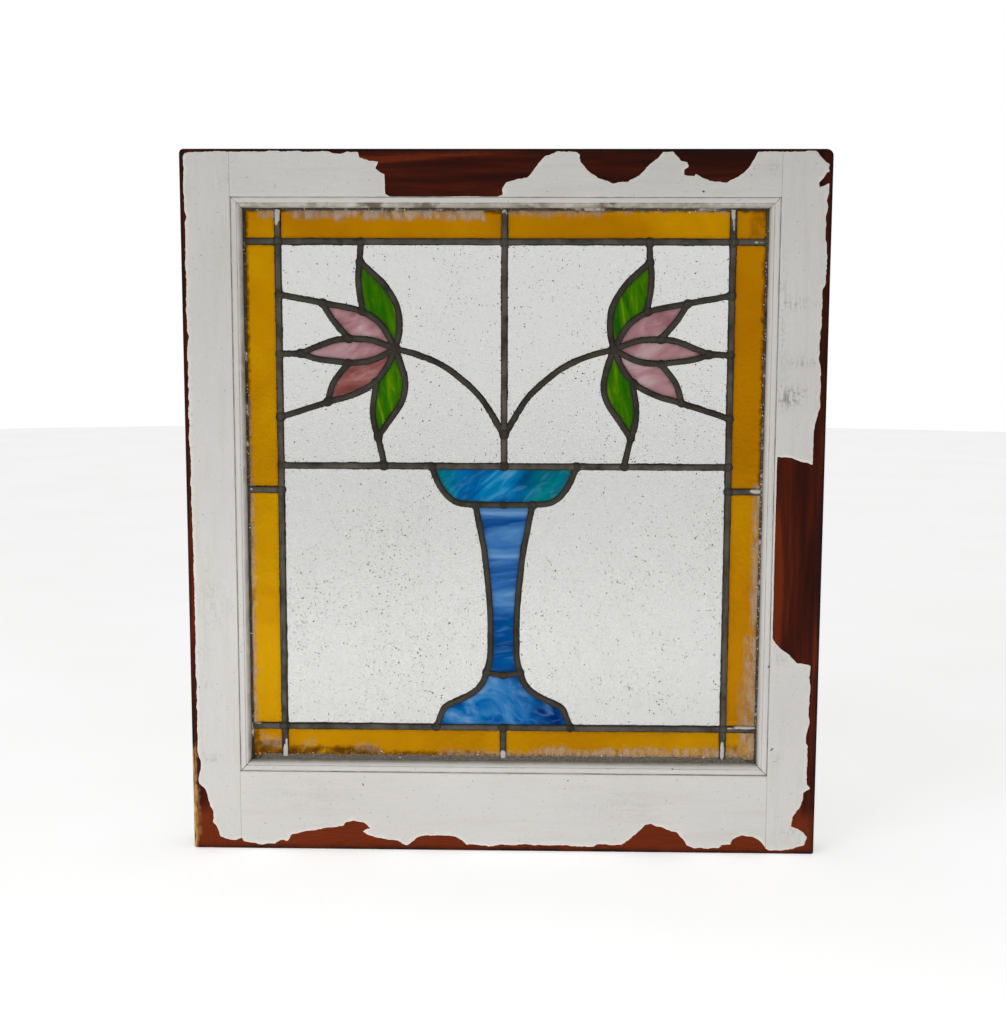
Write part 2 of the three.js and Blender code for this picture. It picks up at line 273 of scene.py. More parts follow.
def add_world():
    """A white surround, dimmer as a source of light than it looks through the glass."""
    world = bpy.data.worlds.new("white_surround")
    world.use_nodes = True
    nodes, links = world.node_tree.nodes, world.node_tree.links
    path = nodes.new("ShaderNodeLightPath")
    seen = nodes.new("ShaderNodeMath")
    seen.operation = "MAXIMUM"
    links.new(path.outputs["Is Camera Ray"], seen.inputs[0])
    links.new(path.outputs["Is Transmission Ray"], seen.inputs[1])
    strength = nodes.new("ShaderNodeMapRange")
    strength.inputs["To Min"].default_value = 0.5
    strength.inputs["To Max"].default_value = 1.0
    links.new(seen.outputs[0], strength.inputs["Value"])
    background = nodes["Background"]
    background.inputs["Color"].default_value = (1, 1, 1, 1)
    links.new(strength.outputs["Result"], background.inputs["Strength"])
    bpy.context.scene.world = world


FLOOR_GLOW = 0.45


def add_floor():
    """A wide pale floor with a faint unevenness."""
    mesh = bpy.data.meshes.new("floor")
    radius, sides = 7.0, 64
    turns = np.linspace(0, math.tau, sides, endpoint=False)
    rim = [(radius * math.cos(turn), radius * math.sin(turn), 0) for turn in turns]
    mesh.from_pydata(rim, [], [tuple(range(sides))])
    floor = bpy.data.objects.new("floor", mesh)
    bpy.context.scene.collection.objects.link(floor)
    material = Material("pale_floor", Roughness=0.9, Specular_IOR_Level=0.1, Emission_Strength=FLOOR_GLOW,
                        Emission_Color=(1, 1, 1, 1))
    tone = material.noise(3, 3, low=(0.86, 0.86, 0.85, 1), high=(0.9, 0.9, 0.9, 1))
    material.link(tone, "Base Color")
    mesh.materials.append(material.material)


# ---------------------------------------------------------------- material tools


class Material:
    """A procedural material round one Principled shader."""

    def __init__(self, name, **values):
        self.material = bpy.data.materials.new(name)
        self.material.use_nodes = True
        self.nodes = self.material.node_tree.nodes
        self.links = self.material.node_tree.links
        self.shader = self.nodes["Principled BSDF"]
        for socket, value in values.items():
            self.shader.inputs[socket.replace("_", " ")].default_value = value
        self.place = self.nodes.new("ShaderNodeTexCoord").outputs["Object"]

    def node(self, kind, settings=None, **inputs):
        """A node with its properties set, and its inputs given as values or linked."""
        made = self.nodes.new("ShaderNode" + kind)
        for name, value in (settings or {}).items():
            setattr(made, name, value)
        for name, value in inputs.items():
            socket = made.inputs[int(name[1:]) if name[1:].isdigit() else name.replace("_", " ")]
            if isinstance(value, bpy.types.NodeSocket):
                self.links.new(value, socket)
            else:
                socket.default_value = value
        return made

    def link(self, output, socket):
        self.links.new(output, self.shader.inputs[socket])

    def stretched(self, scale, turn=(0, 0, 0)):
        """Coordinates in metres times a scale along each axis, after a turn in degrees."""
        turned = self.node("Mapping", {"vector_type": "POINT"}, Vector=self.place,
                           Rotation=tuple(math.radians(a) for a in turn))
        return self.node("Mapping", {"vector_type": "POINT"}, Vector=turned.outputs[0],
                         Scale=tuple(scale)).outputs[0]

    def noise(self, scale, detail=3, vector=None, low=None, high=None, start=0.35, end=0.65,
              distortion=0.0):
        """Noise from 0 to 1, or between two colours when they are given."""
        made = self.node("TexNoise", Vector=vector or self.place, Scale=scale, Detail=detail,
                         Distortion=distortion)
        spread = self.node("MapRange", Value=made.outputs["Fac"], From_Min=start, From_Max=end)
        if low is None:
            return spread.outputs[0]
        return self.mix(spread.outputs[0], low, high)

    def mix(self, share, first, second):
        """Two colours mixed by a share. A colour is a node's output or three sRGB numbers, 0 to 255."""
        made = self.node("Mix", {"data_type": "RGBA", "blend_type": "MIX", "clamp_factor": True})
        for index, value in ((0, share), (6, first), (7, second)):
            if isinstance(value, tuple) and len(value) == 3:
                value = srgb(*value)
            if isinstance(value, bpy.types.NodeSocket):
                self.links.new(value, made.inputs[index])
            else:
                made.inputs[index].default_value = value
        return made.outputs[2]

    def math(self, operation, first, second=0.0):
        """One arithmetic step, held between 0 and 1."""
        made = self.node("Math", {"operation": operation, "use_clamp": True}, _0=first, _1=second)
        return made.outputs[0]

    def times(self, first, second):
        """Two shares multiplied."""
        return self.math("MULTIPLY", first, second)

    def mark(self, name):
        """A mark left on the mesh's points."""
        return self.node("Attribute", {"attribute_name": name}).outputs["Fac"]

    def ramp(self, share, stops):
        """A colour ramp: (place, sRGB colour) pairs."""
        made = self.node("ValToRGB", Fac=share)
        ramp = made.color_ramp
        while len(ramp.elements) < len(stops):
            ramp.elements.new(1.0)
        for element, (place, colour) in zip(ramp.elements, stops):
            element.position, element.color = place, srgb(*colour)
        return made.outputs[0]

    def bump(self, height, distance, strength=1.0):
        """Fine relief, with its height in millimetres."""
        made = self.node("Bump", Height=height, Distance=distance * MM, Strength=strength)
        self.link(made.outputs[0], "Normal")

    def vary_roughness(self, low, high, scale):
        """Roughness that drifts over the surface."""
        drift = self.node("TexNoise", Vector=self.place, Scale=scale, Detail=3.0)
        spread = self.node("MapRange", Value=drift.outputs["Fac"], To_Min=low, To_Max=high)
        self.link(spread.outputs[0], "Roughness")


bpy.context.scene.view_settings.view_transform = "Standard"
add_camera()
add_world()
add_softbox("key_softbox", (-1.5, -1.7, 1.6), (0, 0, 0.3), 1.2, 1.2, 10)
add_softbox("low_fill_softbox", (-0.12, -0.62, 0.05), (-0.06, 0, 0.1), 1.0, 0.14, 2.7, shines=False)
add_floor()


# ---------------------------------------------------------------- materials


def grain_directions(along):
    """How much finer the grain is across a member than along it, for a member along X or Z."""
    return (1.0, 14.0, 14.0) if along == "x" else (14.0, 14.0, 1.0)


def wood_colour(material, along):
    """Old dark varnish over red-brown softwood, worn to raw wood where it is marked."""
    grain = material.stretched(grain_directions(along))
    streak = material.noise(7, 2, grain, start=0.33, end=0.68, distortion=0.3)
    fine = material.noise(60, 4, grain, start=0.3, end=0.7)
    body = material.ramp(streak, [
        (0.0, (40, 13, 8)), (0.45, (56, 19, 10)), (0.75, (72, 25, 11)), (1.0, (96, 36, 14)),
    ])
    body = material.mix(material.times(material.mark("warm"), 0.75), body, (112, 44, 18))
    body = material.mix(material.times(fine, 0.28), body, (34, 12, 7))
    # Near-black towards the sash's outer edges and ends, and on its edge faces and tenon ends.
    darkening = material.times(material.noise(30, 4, start=0.4, end=0.75), material.mark("grime"))
    darkening = material.math("ADD", darkening, material.times(material.mark("grime"), 0.75))
    body = material.mix(darkening, body, (22, 17, 15))
    raw = material.ramp(fine, [(0.0, (96, 66, 33)), (0.5, (158, 118, 66)), (1.0, (196, 160, 104))])
    torn = material.times(material.mark("raw"), material.noise(60, 3, grain, start=0.36, end=0.46))
    return material.mix(torn, body, raw)


def bare_wood(along):
    """The sash's wood where no paint is left."""
    material = Material("bare_wood_along_" + along, Specular_IOR_Level=0.04)
    material.link(wood_colour(material, along), "Base Color")
    grain = material.stretched(grain_directions(along))
    material.bump(material.noise(45, 4, grain, start=0.2, end=0.8), 0.2, 0.5)
    material.vary_roughness(0.4, 0.6, 40)
    return material.material


def old_paint(along):
    """Brushed off-white paint: faint strokes, grime with painted shade, specks, rubbed places and cream
    chipped edges.
    """
    material = Material("old_paint_along_" + along, Specular_IOR_Level=0.25)
    strokes = material.stretched((1.0, 9.0, 9.0) if along == "x" else (9.0, 9.0, 1.0))
    colour = material.noise(5, 4, low=(186, 184, 181), high=(195, 193, 190))
    stroke = material.noise(75, 3, strokes, start=0.3, end=0.75)
    colour = material.mix(material.times(stroke, 0.22), colour, (176, 173, 168))
    patch = material.noise(16, 5, strokes, start=0.5, end=0.8)
    colour = material.mix(material.times(patch, 0.3), colour, (170, 166, 157))
    speck = material.noise(420, 2, start=0.68, end=0.76)
    colour = material.mix(material.times(speck, 0.5), colour, (104, 98, 92))
    hairs = material.noise(50, 5, strokes, start=0.5, end=0.68)
    rubbed = material.times(material.mark("smudge"),
                           material.math("MAXIMUM", hairs, material.noise(300, 3, start=0.5, end=0.66)))
    colour = material.mix(rubbed, colour, (112, 108, 104))
    # Darker and browner where the mark is high: grime, and on the moulding painted shade in its grooves,
    # its recess and its top and left sides.
    grime = material.times(material.mark("grime"), material.noise(110, 4, start=0.2, end=0.55))
    grime_and_shade_colour = material.mix(grime, (160, 151, 130), (72, 63, 53))
    colour = material.mix(material.times(grime, 1.3), colour, grime_and_shade_colour)
    colour = material.mix(material.mark("chip"), colour, (222, 216, 204))
    chipped = material.math("ADD", material.noise(55, 6, start=0.3, end=0.75), material.mark("wear"))
    worn = material.math("GREATER_THAN", chipped, 0.93)
    colour = material.mix(worn, colour, wood_colour(material, along))
    material.link(colour, "Base Color")
    relief = material.math("ADD", material.times(stroke, 0.6), material.noise(300, 3))
    material.bump(relief, 0.16, 0.5)
    material.vary_roughness(0.45, 0.68, 35)
    return material.material


def old_lead():
    """Oxidised lead and solder: dark, paler and greyer on the rubbed crowns, a paleness that is partly a
    painted highlight, with old paint on some ends.
    """
    material = Material("oxidised_lead", Specular_IOR_Level=0.12)
    colour = material.noise(28, 5, low=(32, 29, 25), high=(46, 42, 36))
    colour = material.mix(material.times(material.noise(260, 3), 0.4), colour, (24, 20, 17))
    # Paler grey along the crowns and solder tops: rubbed lead, and a painted highlight.
    ridge = material.times(material.mark("ridge"), material.noise(70, 4, start=0.25, end=0.6))
    colour = material.mix(ridge, colour, (82, 77, 69))
    ragged = material.math("ADD", material.mark("spill"), material.noise(240, 4, start=-0.4, end=1.3))
    spilt = material.node("MapRange", Value=ragged, From_Min=0.82, From_Max=0.95).outputs[0]
    colour = material.mix(spilt, colour, (170, 167, 162))
    material.link(colour, "Base Color")
    material.bump(material.noise(380, 4, start=0.2, end=0.8), 0.14, 0.7)
    material.vary_roughness(0.55, 0.8, 60)
    return material.material


def dark_cement():
    """Crumbly black-brown glazing cement along the cames."""
    material = Material("dark_cement", Roughness=0.9, Specular_IOR_Level=0.15)
    material.link(material.noise(300, 3, low=(22, 18, 14), high=(52, 44, 34)), "Base Color")
    material.bump(material.noise(700, 3), 0.2, 0.8)
    return material.material


def glazing_putty():
    """Old painted putty, cracked and a little grubby."""
    material = Material("aged_putty", Specular_IOR_Level=0.25)
    colour = material.noise(14, 4, low=(166, 160, 149), high=(188, 184, 174))
    crack = material.noise(170, 5, start=0.62, end=0.7)
    colour = material.mix(material.times(crack, 0.5), colour, (92, 84, 72))
    material.link(colour, "Base Color")
    material.bump(material.noise(130, 5), 0.5, 0.8)
    material.vary_roughness(0.6, 0.85, 50)
    return material.material


def clear_glass(name, light):
    """Clear textured glass: plain see-through values, with its grain in relief."""
    material = Material(name, Transmission_Weight=1.0, Roughness=0.08, IOR=1.5,
                        Base_Color=(*(share * light for share in CLEAR_COLOUR), 1.0))
    material.bump(material.noise(700, 2, start=0.2, end=0.8), 0.25, 0.6)
    return material.material


def amber_glass():
    """Golden cathedral glass, paler or browner by piece, with smears, stain and painted shade by the sash's
    edges and painted shade beside the cames.
    """
    material = Material("amber_glass", IOR=1.5, Specular_IOR_Level=0.3, Specular_Tint=srgb(220, 160, 30))
    drift = material.noise(9, 4, start=0.3, end=0.7, distortion=1.0)
    grain = material.noise(420, 3, start=0.3, end=0.7)
    dim = material.ramp(drift, [(0.0, (150, 88, 1)), (0.5, (166, 102, 1)), (1.0, (178, 118, 2))])
    bright = material.ramp(drift, [(0.0, (190, 136, 2)), (0.5, (204, 154, 4)), (1.0, (214, 168, 8))])
    colour = material.mix(material.mark("tone"), dim, bright)
    colour = material.mix(material.times(grain, 0.16), colour, (140, 84, 1))
    stain = material.noise(60, 4, start=0.62, end=0.8)
    colour = material.mix(material.times(stain, 0.3), colour, (138, 74, 4))
    # Browner in a broken band beside the cames: painted shade along the lead.
    rim = material.times(material.mark("rim"), material.noise(130, 3, start=0.1, end=0.6))
    colour = material.mix(material.times(rim, 0.8), colour, (92, 50, 8))
    drips = material.stretched((1.0, 1.0, 0.35))
    smear = material.noise(190, 5, drips, start=0.3, end=0.56)
    veil = material.times(material.mark("veil"), smear)
    # Dark red-brown by the sash's edges, less see-through: stain, and painted shade under the top moulding.
    rust = material.times(material.mark("rust"), material.noise(150, 5, start=0.3, end=0.55))
    colour = material.mix(material.times(rust, 0.92), colour, (66, 26, 12))
    colour = material.mix(material.times(veil, 0.8), colour, (172, 158, 146))
    material.link(colour, "Base Color")
    cover = material.math("MAXIMUM", veil, rust)
    clear = material.node("MapRange", Value=cover, To_Min=0.95, To_Max=0.3)
    material.link(clear.outputs[0], "Transmission Weight")
    material.bump(material.noise(260, 3), 0.3, 0.5)
    material.vary_roughness(0.15, 0.28, 30)
    return material.material


def streaky_glass(name, stops, scale, stretch, turn, shine, wisp, warp=1.5, tints=None):
    """Opalescent glass: milky streaks of several colours in one direction, with painted shade beside the
    cames.
    """
    material = Material(name, IOR=1.5, Transmission_Weight=0.35, Specular_IOR_Level=0.12,
                        Specular_Tint=srgb(*shine))
    flow = material.stretched(stretch, turn)
    streak = material.noise(scale, 5, flow, start=0.32, end=0.68, distortion=warp)
    colour = material.ramp(streak, stops)
    if tints:
        colour = material.mix(material.mark("tint"), colour, material.ramp(streak, tints))
    wisps = material.noise(scale * 2.5, 4, flow, start=0.52, end=0.78, distortion=warp)
    colour = material.mix(material.times(wisps, 0.5), colour, wisp)
    # Near-black beside the cames: painted shade along the lead.
    rim = material.times(material.mark("rim"), 0.55)
    colour = material.mix(rim, colour, (30, 30, 34))
    material.link(colour, "Base Color")
    material.bump(material.noise(120, 3), 0.3, 0.35)
    material.vary_roughness(0.3, 0.45, 40)
    return material.material


def crumb(name, low, high):
    """A dull crumb of dirt or paint."""
    material = Material(name, Roughness=0.9, Specular_IOR_Level=0.1)
    material.link(material.noise(900, 2, low=low, high=high), "Base Color")
    return material.material


FLECKS = [
    crumb("dark_speck", (44, 39, 32), (84, 76, 66)),
    crumb("grey_speck", (96, 92, 86), (132, 128, 122)),
    crumb("pale_speck", (136, 134, 130), (166, 164, 160)),
]
PAINT_CRUMB = crumb("paint_crumb", (176, 172, 164), (206, 203, 197))
LEDGE_DIRT = crumb("ledge_dirt", (72, 67, 60), (118, 112, 102))
WOOD = {along: bare_wood(along) for along in ("x", "z")}
PAINT = {along: old_paint(along) for along in ("x", "z")}
LEAD = old_lead()
CEMENT = dark_cement()
PUTTY = glazing_putty()
# Four plain tints of clear glass: the darker ones mottle the panes with dust and with painted shade of the
# grain's steep facets.
CLEAR = [
    clear_glass("clear_glass", 0.99),
    clear_glass("clear_glass_pale", 1.05),
    clear_glass("clear_glass_dim", 0.9),
    clear_glass("clear_glass_dull", 0.78),
]
AMBER = amber_glass()
GREEN = streaky_glass(
    "green_glass",
    [(0.0, (28, 92, 8)), (0.4, (50, 106, 4)), (0.7, (70, 122, 2)), (1.0, (104, 150, 12))],
    30, (3.2, 1, 0.6), (0, 8, 0), (60, 110, 20), wisp=(92, 140, 14),
)
PINK = streaky_glass(
    "pink_glass",
    [(0.0, (150, 100, 106)), (0.4, (170, 126, 132)), (0.75, (182, 146, 152)),
     (1.0, (198, 172, 176))],
    20, (1, 1, 2.4), (0, 20, 0), (180, 150, 150), wisp=(196, 166, 168),
    tints=[(0.0, (108, 42, 36)), (0.5, (146, 86, 80)), (1.0, (170, 122, 116))],
)
BOWL = streaky_glass(
    "blue_bowl_glass",
    [(0.0, (0, 58, 116)), (0.35, (0, 96, 158)), (0.7, (8, 124, 176)), (1.0, (80, 150, 186))],
    20, (0.7, 1, 2.2), (0, 38, 0), (10, 90, 140), wisp=(90, 152, 184),
    tints=[(0.0, (0, 84, 106)), (0.5, (0, 116, 130)), (1.0, (20, 138, 128))],
)
COLUMN = streaky_glass(
    "blue_column_glass",
    [(0.0, (0, 64, 128)), (0.4, (44, 96, 160)), (0.7, (70, 124, 178)), (1.0, (112, 150, 192))],
    13, (0.45, 1, 3), (0, 4, 0), (30, 90, 150), wisp=(110, 160, 200),
    tints=[(0.0, (0, 56, 118)), (0.5, (0, 76, 142)), (1.0, (8, 104, 156))],
)
FOOT = streaky_glass(
    "blue_foot_glass",
    [(0.0, (0, 62, 132)), (0.35, (10, 98, 164)), (0.7, (58, 124, 180)), (1.0, (112, 152, 196))],
    18, (1, 1, 1.8), (0, -30, 0), (10, 80, 140), warp=2.2, wisp=(110, 148, 196),
    tints=[(0.0, (0, 36, 100)), (0.5, (0, 62, 126)), (1.0, (8, 96, 156))],
)



# ---------------------------------------------------------------- lead lines, as in the CAD model

BORDER = {"side": 206.5, "bottom": 115.7, "top": 567.2}
MIDDLE_HEIGHT = 362.8
SIDE_CAME_HEIGHT = 340.3
HUB = (100, 470.5)
BOWL_FLOOR = 327.0
EDGE_HEART = {
    "left": PANEL["left"] + HEART,
    "right": PANEL["right"] - HEART,
    "bottom": PANEL["bottom"] + HEART,
    "top": PANEL["top"] - HEART,
}


def border_lines():
    """The straight cames of the border and the middle of the panel."""
    side, bottom, top = BORDER["side"], BORDER["bottom"], BORDER["top"]
    edge = EDGE_HEART
    return [
        straight((-side, edge["bottom"]), (-side, edge["top"])),
        straight((side, edge["bottom"]), (side, edge["top"])),
        straight((edge["left"], bottom), (edge["right"], bottom)),
        straight((edge["left"], top), (edge["right"], top)),
        straight((-side, MIDDLE_HEIGHT), (side, MIDDLE_HEIGHT)),
        straight((0, MIDDLE_HEIGHT), (0, edge["top"])),
        straight((0, edge["bottom"]), (0, bottom)),
        straight((edge["left"], SIDE_CAME_HEIGHT), (-side, SIDE_CAME_HEIGHT)),
        straight((side, SIDE_CAME_HEIGHT), (edge["right"], SIDE_CAME_HEIGHT)),
    ]


def flower_lines():
    """The right-hand flower: two leaves and three petals round one hub, on a curved stalk."""
    side, top = BORDER["side"], BORDER["top"]
    leaf_tip, lower_leaf_tip = (132, 549), (116.5, 389.5)
    upper_tip, middle_tip, lower_tip = (166.5, 512), (187, 466), (162.5, 421.5)
    return [
        straight((131, top), leaf_tip),
        smooth([leaf_tip, (133.5, 537), (132.5, 522), (129.5, 504.5)]),
        smooth([leaf_tip, (122, 540.5), (109, 527.5), (99, 511), (96, 495.5), (97, 482), HUB]),
        smooth([(side, 519.5), upper_tip, (143.5, 508), (131, 504.5), (121, 499), (111, 490), HUB]),
        smooth([upper_tip, (157, 496.5), (142.5, 480)]),
        straight((side, 465.5), middle_tip),
        smooth([middle_tip, (171.5, 472.5), (156, 478), (141, 479.5), (121, 478), HUB]),
        smooth([middle_tip, (171.5, 461), (151.5, 458.5), (141, 457.5), (121, 460), HUB]),
        smooth([(side, 407.5), lower_tip, (141, 427.8), (121, 437.8), (108.5, 452.6), HUB]),
        smooth([lower_tip, (157, 439.5), (143, 457.5)]),
        smooth([(117.5, 439.5), (121, 417), (120, 402), lower_leaf_tip]),
        smooth([HUB, (94, 453.5), (91, 437.5), (94.5, 421.5), (106, 404.5), lower_leaf_tip]),
        smooth([lower_leaf_tip, (112.5, 372), (111, MIDDLE_HEIGHT)]),
        smooth([HUB, (81, 465.5), (60.5, 457.5), (40.5, 444), (20, 424), (0, 391.5)]),
    ]


def vase_lines():
    """The right-hand side of the chalice vase: its bowl, then its column and foot in one sweep."""
    bowl = [(67, MIDDLE_HEIGHT), (61.6, 349), (55.6, 339), (48, 331.7), (36.5, 327.8), (0, BOWL_FLOOR)]
    column = [(26.4, BOWL_FLOOR), (21.2, 300), (17.4, 278), (12.9, 232), (12.2, 200), (12.9, 181)]
    flank = [(16.9, 165.1), (20.9, 156.6), (27, 150.1), (37.2, 143.8), (50.3, 137.8), (56.7, 132.4)]
    foot = flank + [(63, BORDER["bottom"])]
    return [smooth(bowl), smooth(column + foot), straight((15, 168), (0, 166))]


def all_lines():
    """Every came's centre line with its half width."""
    curves = flower_lines() + vase_lines()
    both = curves + [line * (-1, 1) for line in curves]
    return [(line, BORDER_HALF) for line in border_lines()] + [(line, CURVE_HALF) for line in both]


LINES = all_lines()


# ---------------------------------------------------------------- lead

CROWN = 3.0
FLANGE_FOOT = 1.58
# How pale the crowns of the cames are: rubbed lead, and a painted highlight.
BORDER_RUB_AND_HIGHLIGHT = 0.85
CURVE_RUB_AND_HIGHLIGHT = 0.35


def came_section():
    """An H section: places across in half widths, plus millimetres, and heights from the middle."""
    face = [(-1, 2.0), (-0.9, 2.42), (-0.62, 2.82), (-0.3, 2.97), (0, CROWN)]
    face += [(-across, height) for across, height in face[-2::-1]]
    top = [(-1, FLANGE_FOOT), *face, (1, FLANGE_FOOT)]
    front = [(across, 0.0, height) for across, height in top]
    back = [(-across, 0.0, -height) for across, height in top]
    heart = FLANGE_FOOT - 0.05
    right, left = [(0, HEART, heart), (0, HEART, -heart)], [(0, -HEART, -heart), (0, -HEART, heart)]
    return front + right + back + left


SPILLS = [
    # x, z, half width, half height, strength: old paint brushed over the cames by the sash
    (-206.5, 593, 2.6, 8, 0.7), (-207.5, 586, 1.4, 5, 0.6), (206, 594, 2.2, 7, 0.6),
    (206.5, 582, 1.3, 7, 0.45),
    (0, 594, 3, 6, 0.35), (-206, 91, 2.2, 8, 0.75), (-205, 100, 1.2, 5, 0.5), (206, 95, 1.8, 9, 0.7),
    (0, 89, 3, 6, 0.55), (-232, 119, 4, 1.4, 0.6), (228, 118, 12, 1.7, 0.6), (214, 117, 5, 1.0, 0.45),
    (232, 341, 5, 2.0, 0.7), (229, 337, 1.6, 3, 0.6), (229, 567, 8, 1.5, 0.35), (-234, 341, 2.5, 1.6, 0.45),
]


def spill_at(points):
    """How much spilt paint lies at points of the lead's front."""
    amount = np.zeros(len(points))
    for x, z, half_width, half_height, strength in SPILLS:
        reach = ((points[:, 0] - x) / half_width) ** 4 + ((points[:, 2] - z) / half_height) ** 4
        amount = np.maximum(amount, strength * np.exp(-reach))
    return amount * (points[:, 1] < PANEL_MIDDLE)


def add_came(shells, line, half, step, seed):
    """One came swept along its line, with hand-bent unevenness in its run, width and height."""
    section = np.array(came_section())
    path = resampled(line, step)
    across = normals_of(path)
    run = np.arange(len(path)) * step
    hand = lattice_noise(run, 0 * run, 17, seed)
    hold = np.minimum(1, np.minimum(run, run[-1] - run) / 20)
    path = path + across * (0.3 * hand * hold)[:, None]
    width = half * (1 + 0.05 * lattice_noise(run, 0 * run, 9, seed + 1))
    dents = 0.07 * lattice_noise(run, 0 * run, 6, seed + 2)
    offset = section[None, :, 0] * width[:, None] + section[None, :, 1]
    ragged = 0.1 * np.random.default_rng(seed).uniform(-1, 1, offset.shape)
    offset = offset + ragged * (abs(section[:, 0]) > 0.8)
    flat = path[:, None, :] + across[:, None, :] * offset[:, :, None]
    height = section[None, :, 2] * (1 + dents[:, None])
    depth = PANEL_MIDDLE - np.broadcast_to(height, offset.shape)
    points = np.stack([flat[:, :, 0], depth, flat[:, :, 1]], axis=2).reshape(-1, 3)
    # Paler towards the crown: rubbed lead, and a painted highlight along the top of the came.
    ridge = np.where(abs(section[:, 2]) > 2.75, 1.0, np.where(abs(section[:, 2]) > 2.3, 0.4, 0.0))
    rubbed = BORDER_RUB_AND_HIGHLIGHT if half == BORDER_HALF else CURVE_RUB_AND_HIGHLIGHT
    shells.add(points, tube_faces(len(path), len(section)), ridge=rubbed * np.tile(ridge, len(path)),
               spill=spill_at(points))


def came_junctions():
    """Where cames meet: (place, directions of the cames that leave it)."""
    places, owners = [], []
    for index, (line, _) in enumerate(LINES):
        places.append(resampled(line, 1.0))
        owners.append(np.full(len(places[-1]), index))
    points, owners = np.vstack(places), np.concatenate(owners)
    tree = kdtree.KDTree(len(points))
    for index, (x, z) in enumerate(points):
        tree.insert((x, z, 0), index)
    tree.balance()
    crowd = []
    for index, (x, z) in enumerate(points):
        near = tree.find_range((x, z, 0), 1.3)
        company = {int(owners[other]) for _, other, _ in near}
        if len(company) > 1:
            spread = sum(distance for _, _, distance in near) / len(near)
            crowd.append((-len(company), spread, index))
    chosen = []
    for _, _, index in sorted(crowd):
        if all(np.linalg.norm(points[index] - points[other]) > 7.5 for other in chosen):
            chosen.append(index)
    return [(points[index], arms_at(points[index])) for index in chosen]


def arms_at(place, reach=6.5):
    """The unit directions in which cames leave a junction."""
    arms = []
    for line, _ in LINES:
        distance = np.linalg.norm(line - place, axis=1)
        closest = int(distance.argmin())
        if distance[closest] > 2.6:
            continue
        for stretch in (line[closest:], line[: closest + 1][::-1]):
            beyond = np.linalg.norm(stretch - place, axis=1) > reach
            if beyond.any():
                arm = stretch[int(beyond.argmax())] - place
                arms.append(arm / np.linalg.norm(arm))
    return arms


def blended(first, second, reach):
    """Two distances joined smoothly, so that shapes meet in a fillet."""
    share = np.maximum(reach - abs(first - second), 0) / reach
    return np.minimum(first, second) - share**2 * reach / 4


def add_solder(shells, place, arms, side, seed):
    """A low dome of solder over one junction, drawn out along its cames, on the front or back."""
    rng = np.random.default_rng(seed)
    spokes, rings = 48, 6
    reach, half, fillet = 4.5 + rng.uniform(0, 1.6), CURVE_HALF - 0.35, rng.uniform(3.2, 4.6)
    angles = np.linspace(0, math.tau, spokes, endpoint=False)
    rays = np.stack([np.cos(angles), np.sin(angles)], axis=1)
    radii = np.linspace(0.5, 12, 60)
    samples = rays[:, None, :] * radii[None, :, None]
    gap = np.linalg.norm(samples, axis=2) - half - 0.3
    for arm in arms:
        along = np.clip(samples @ arm, 0, reach)
        gap = blended(gap, np.linalg.norm(samples - along[:, :, None] * arm, axis=2) - half, fillet)
    outside = gap > 0
    edge = radii[np.where(outside.any(axis=1), np.maximum(outside.argmax(axis=1) - 1, 0), len(radii) - 1)]
    edge = edge + rng.uniform(-0.12, 0.12, spokes)
    crown = CROWN + rng.uniform(0.25, 0.5)
    points = [(place[0], PANEL_MIDDLE - side * crown, place[1])]
    for ring in range(1, rings + 1):
        share = ring / rings
        height = 1.45 + (crown - 1.45) * math.sqrt(max(0.0, 1 - share**2.2))
        lumps = 0.05 * rng.uniform(-1, 1, spokes) * (share < 1)
        flat = place + rays * (edge * share)[:, None]
        points += [(x, PANEL_MIDDLE - side * (height + lump), z) for (x, z), lump in zip(flat, lumps)]
    floor = len(points)
    points.append((place[0], PANEL_MIDDLE - side * 1.3, place[1]))
    faces = []
    for k in range(spokes):
        after = (k + 1) % spokes
        faces.append((0, 1 + k, 1 + after))
        for ring in range(rings - 1):
            a, b = 1 + ring * spokes, 1 + (ring + 1) * spokes
            faces.append((a + k, b + k, b + after, a + after))
        faces.append((1 + (rings - 1) * spokes + after, 1 + (rings - 1) * spokes + k, floor))
    # Paler at the top of the dome, fading to its edge: rubbed solder, and a painted highlight.
    shine = 0.6 if abs(place[0]) > BORDER["side"] - 3 or place[1] > BORDER["top"] - 3 else 0.3
    ridge = np.concatenate([[shine], np.repeat(np.linspace(shine, 0, rings), spokes), [0]])
    shells.add(points, faces, ridge=ridge, spill=spill_at(np.array(points)))


def side_point(rect, side, along, inward):
    """A point beside a rectangle's edge, inward of it, and along it from its middle."""
    middle = (rect["bottom"] + rect["top"]) / 2
    if side == "bottom":
        return along, rect["bottom"] + inward
    if side == "top":
        return -along, rect["top"] - inward
    if side == "left":
        return rect["left"] + inward, middle - along
    return rect["right"] - inward, middle + along


def mitred_bar(rect, side, section, step=6.0, end_gap=0.0, waver=0.0, seed=0):
    """A bar inside one edge of a rectangle, mitred at both ends: its points and faces."""
    section = np.array(section, float)
    half = rect["right"] if side in ("top", "bottom") else (rect["top"] - rect["bottom"]) / 2
    rings = int(2 * half / step) + 1
    share = np.linspace(-1, 1, rings)[:, None]
    along = share * (half - end_gap - section[None, :, 0])
    sway = waver * lattice_noise(along, section[None, :, 0] + 0 * along, 11, seed)
    inward = section[None, :, 0] + sway * (section[None, :, 0] > 0.5)
    across, upward = side_point(rect, side, along, inward)
    depth = section[None, :, 1] + 0.5 * waver * lattice_noise(along, section[None, :, 0], 15, seed + 1)
    points = np.stack([across, np.broadcast_to(depth, along.shape), upward], axis=2).reshape(-1, 3)
    return points, tube_faces(rings, len(section))


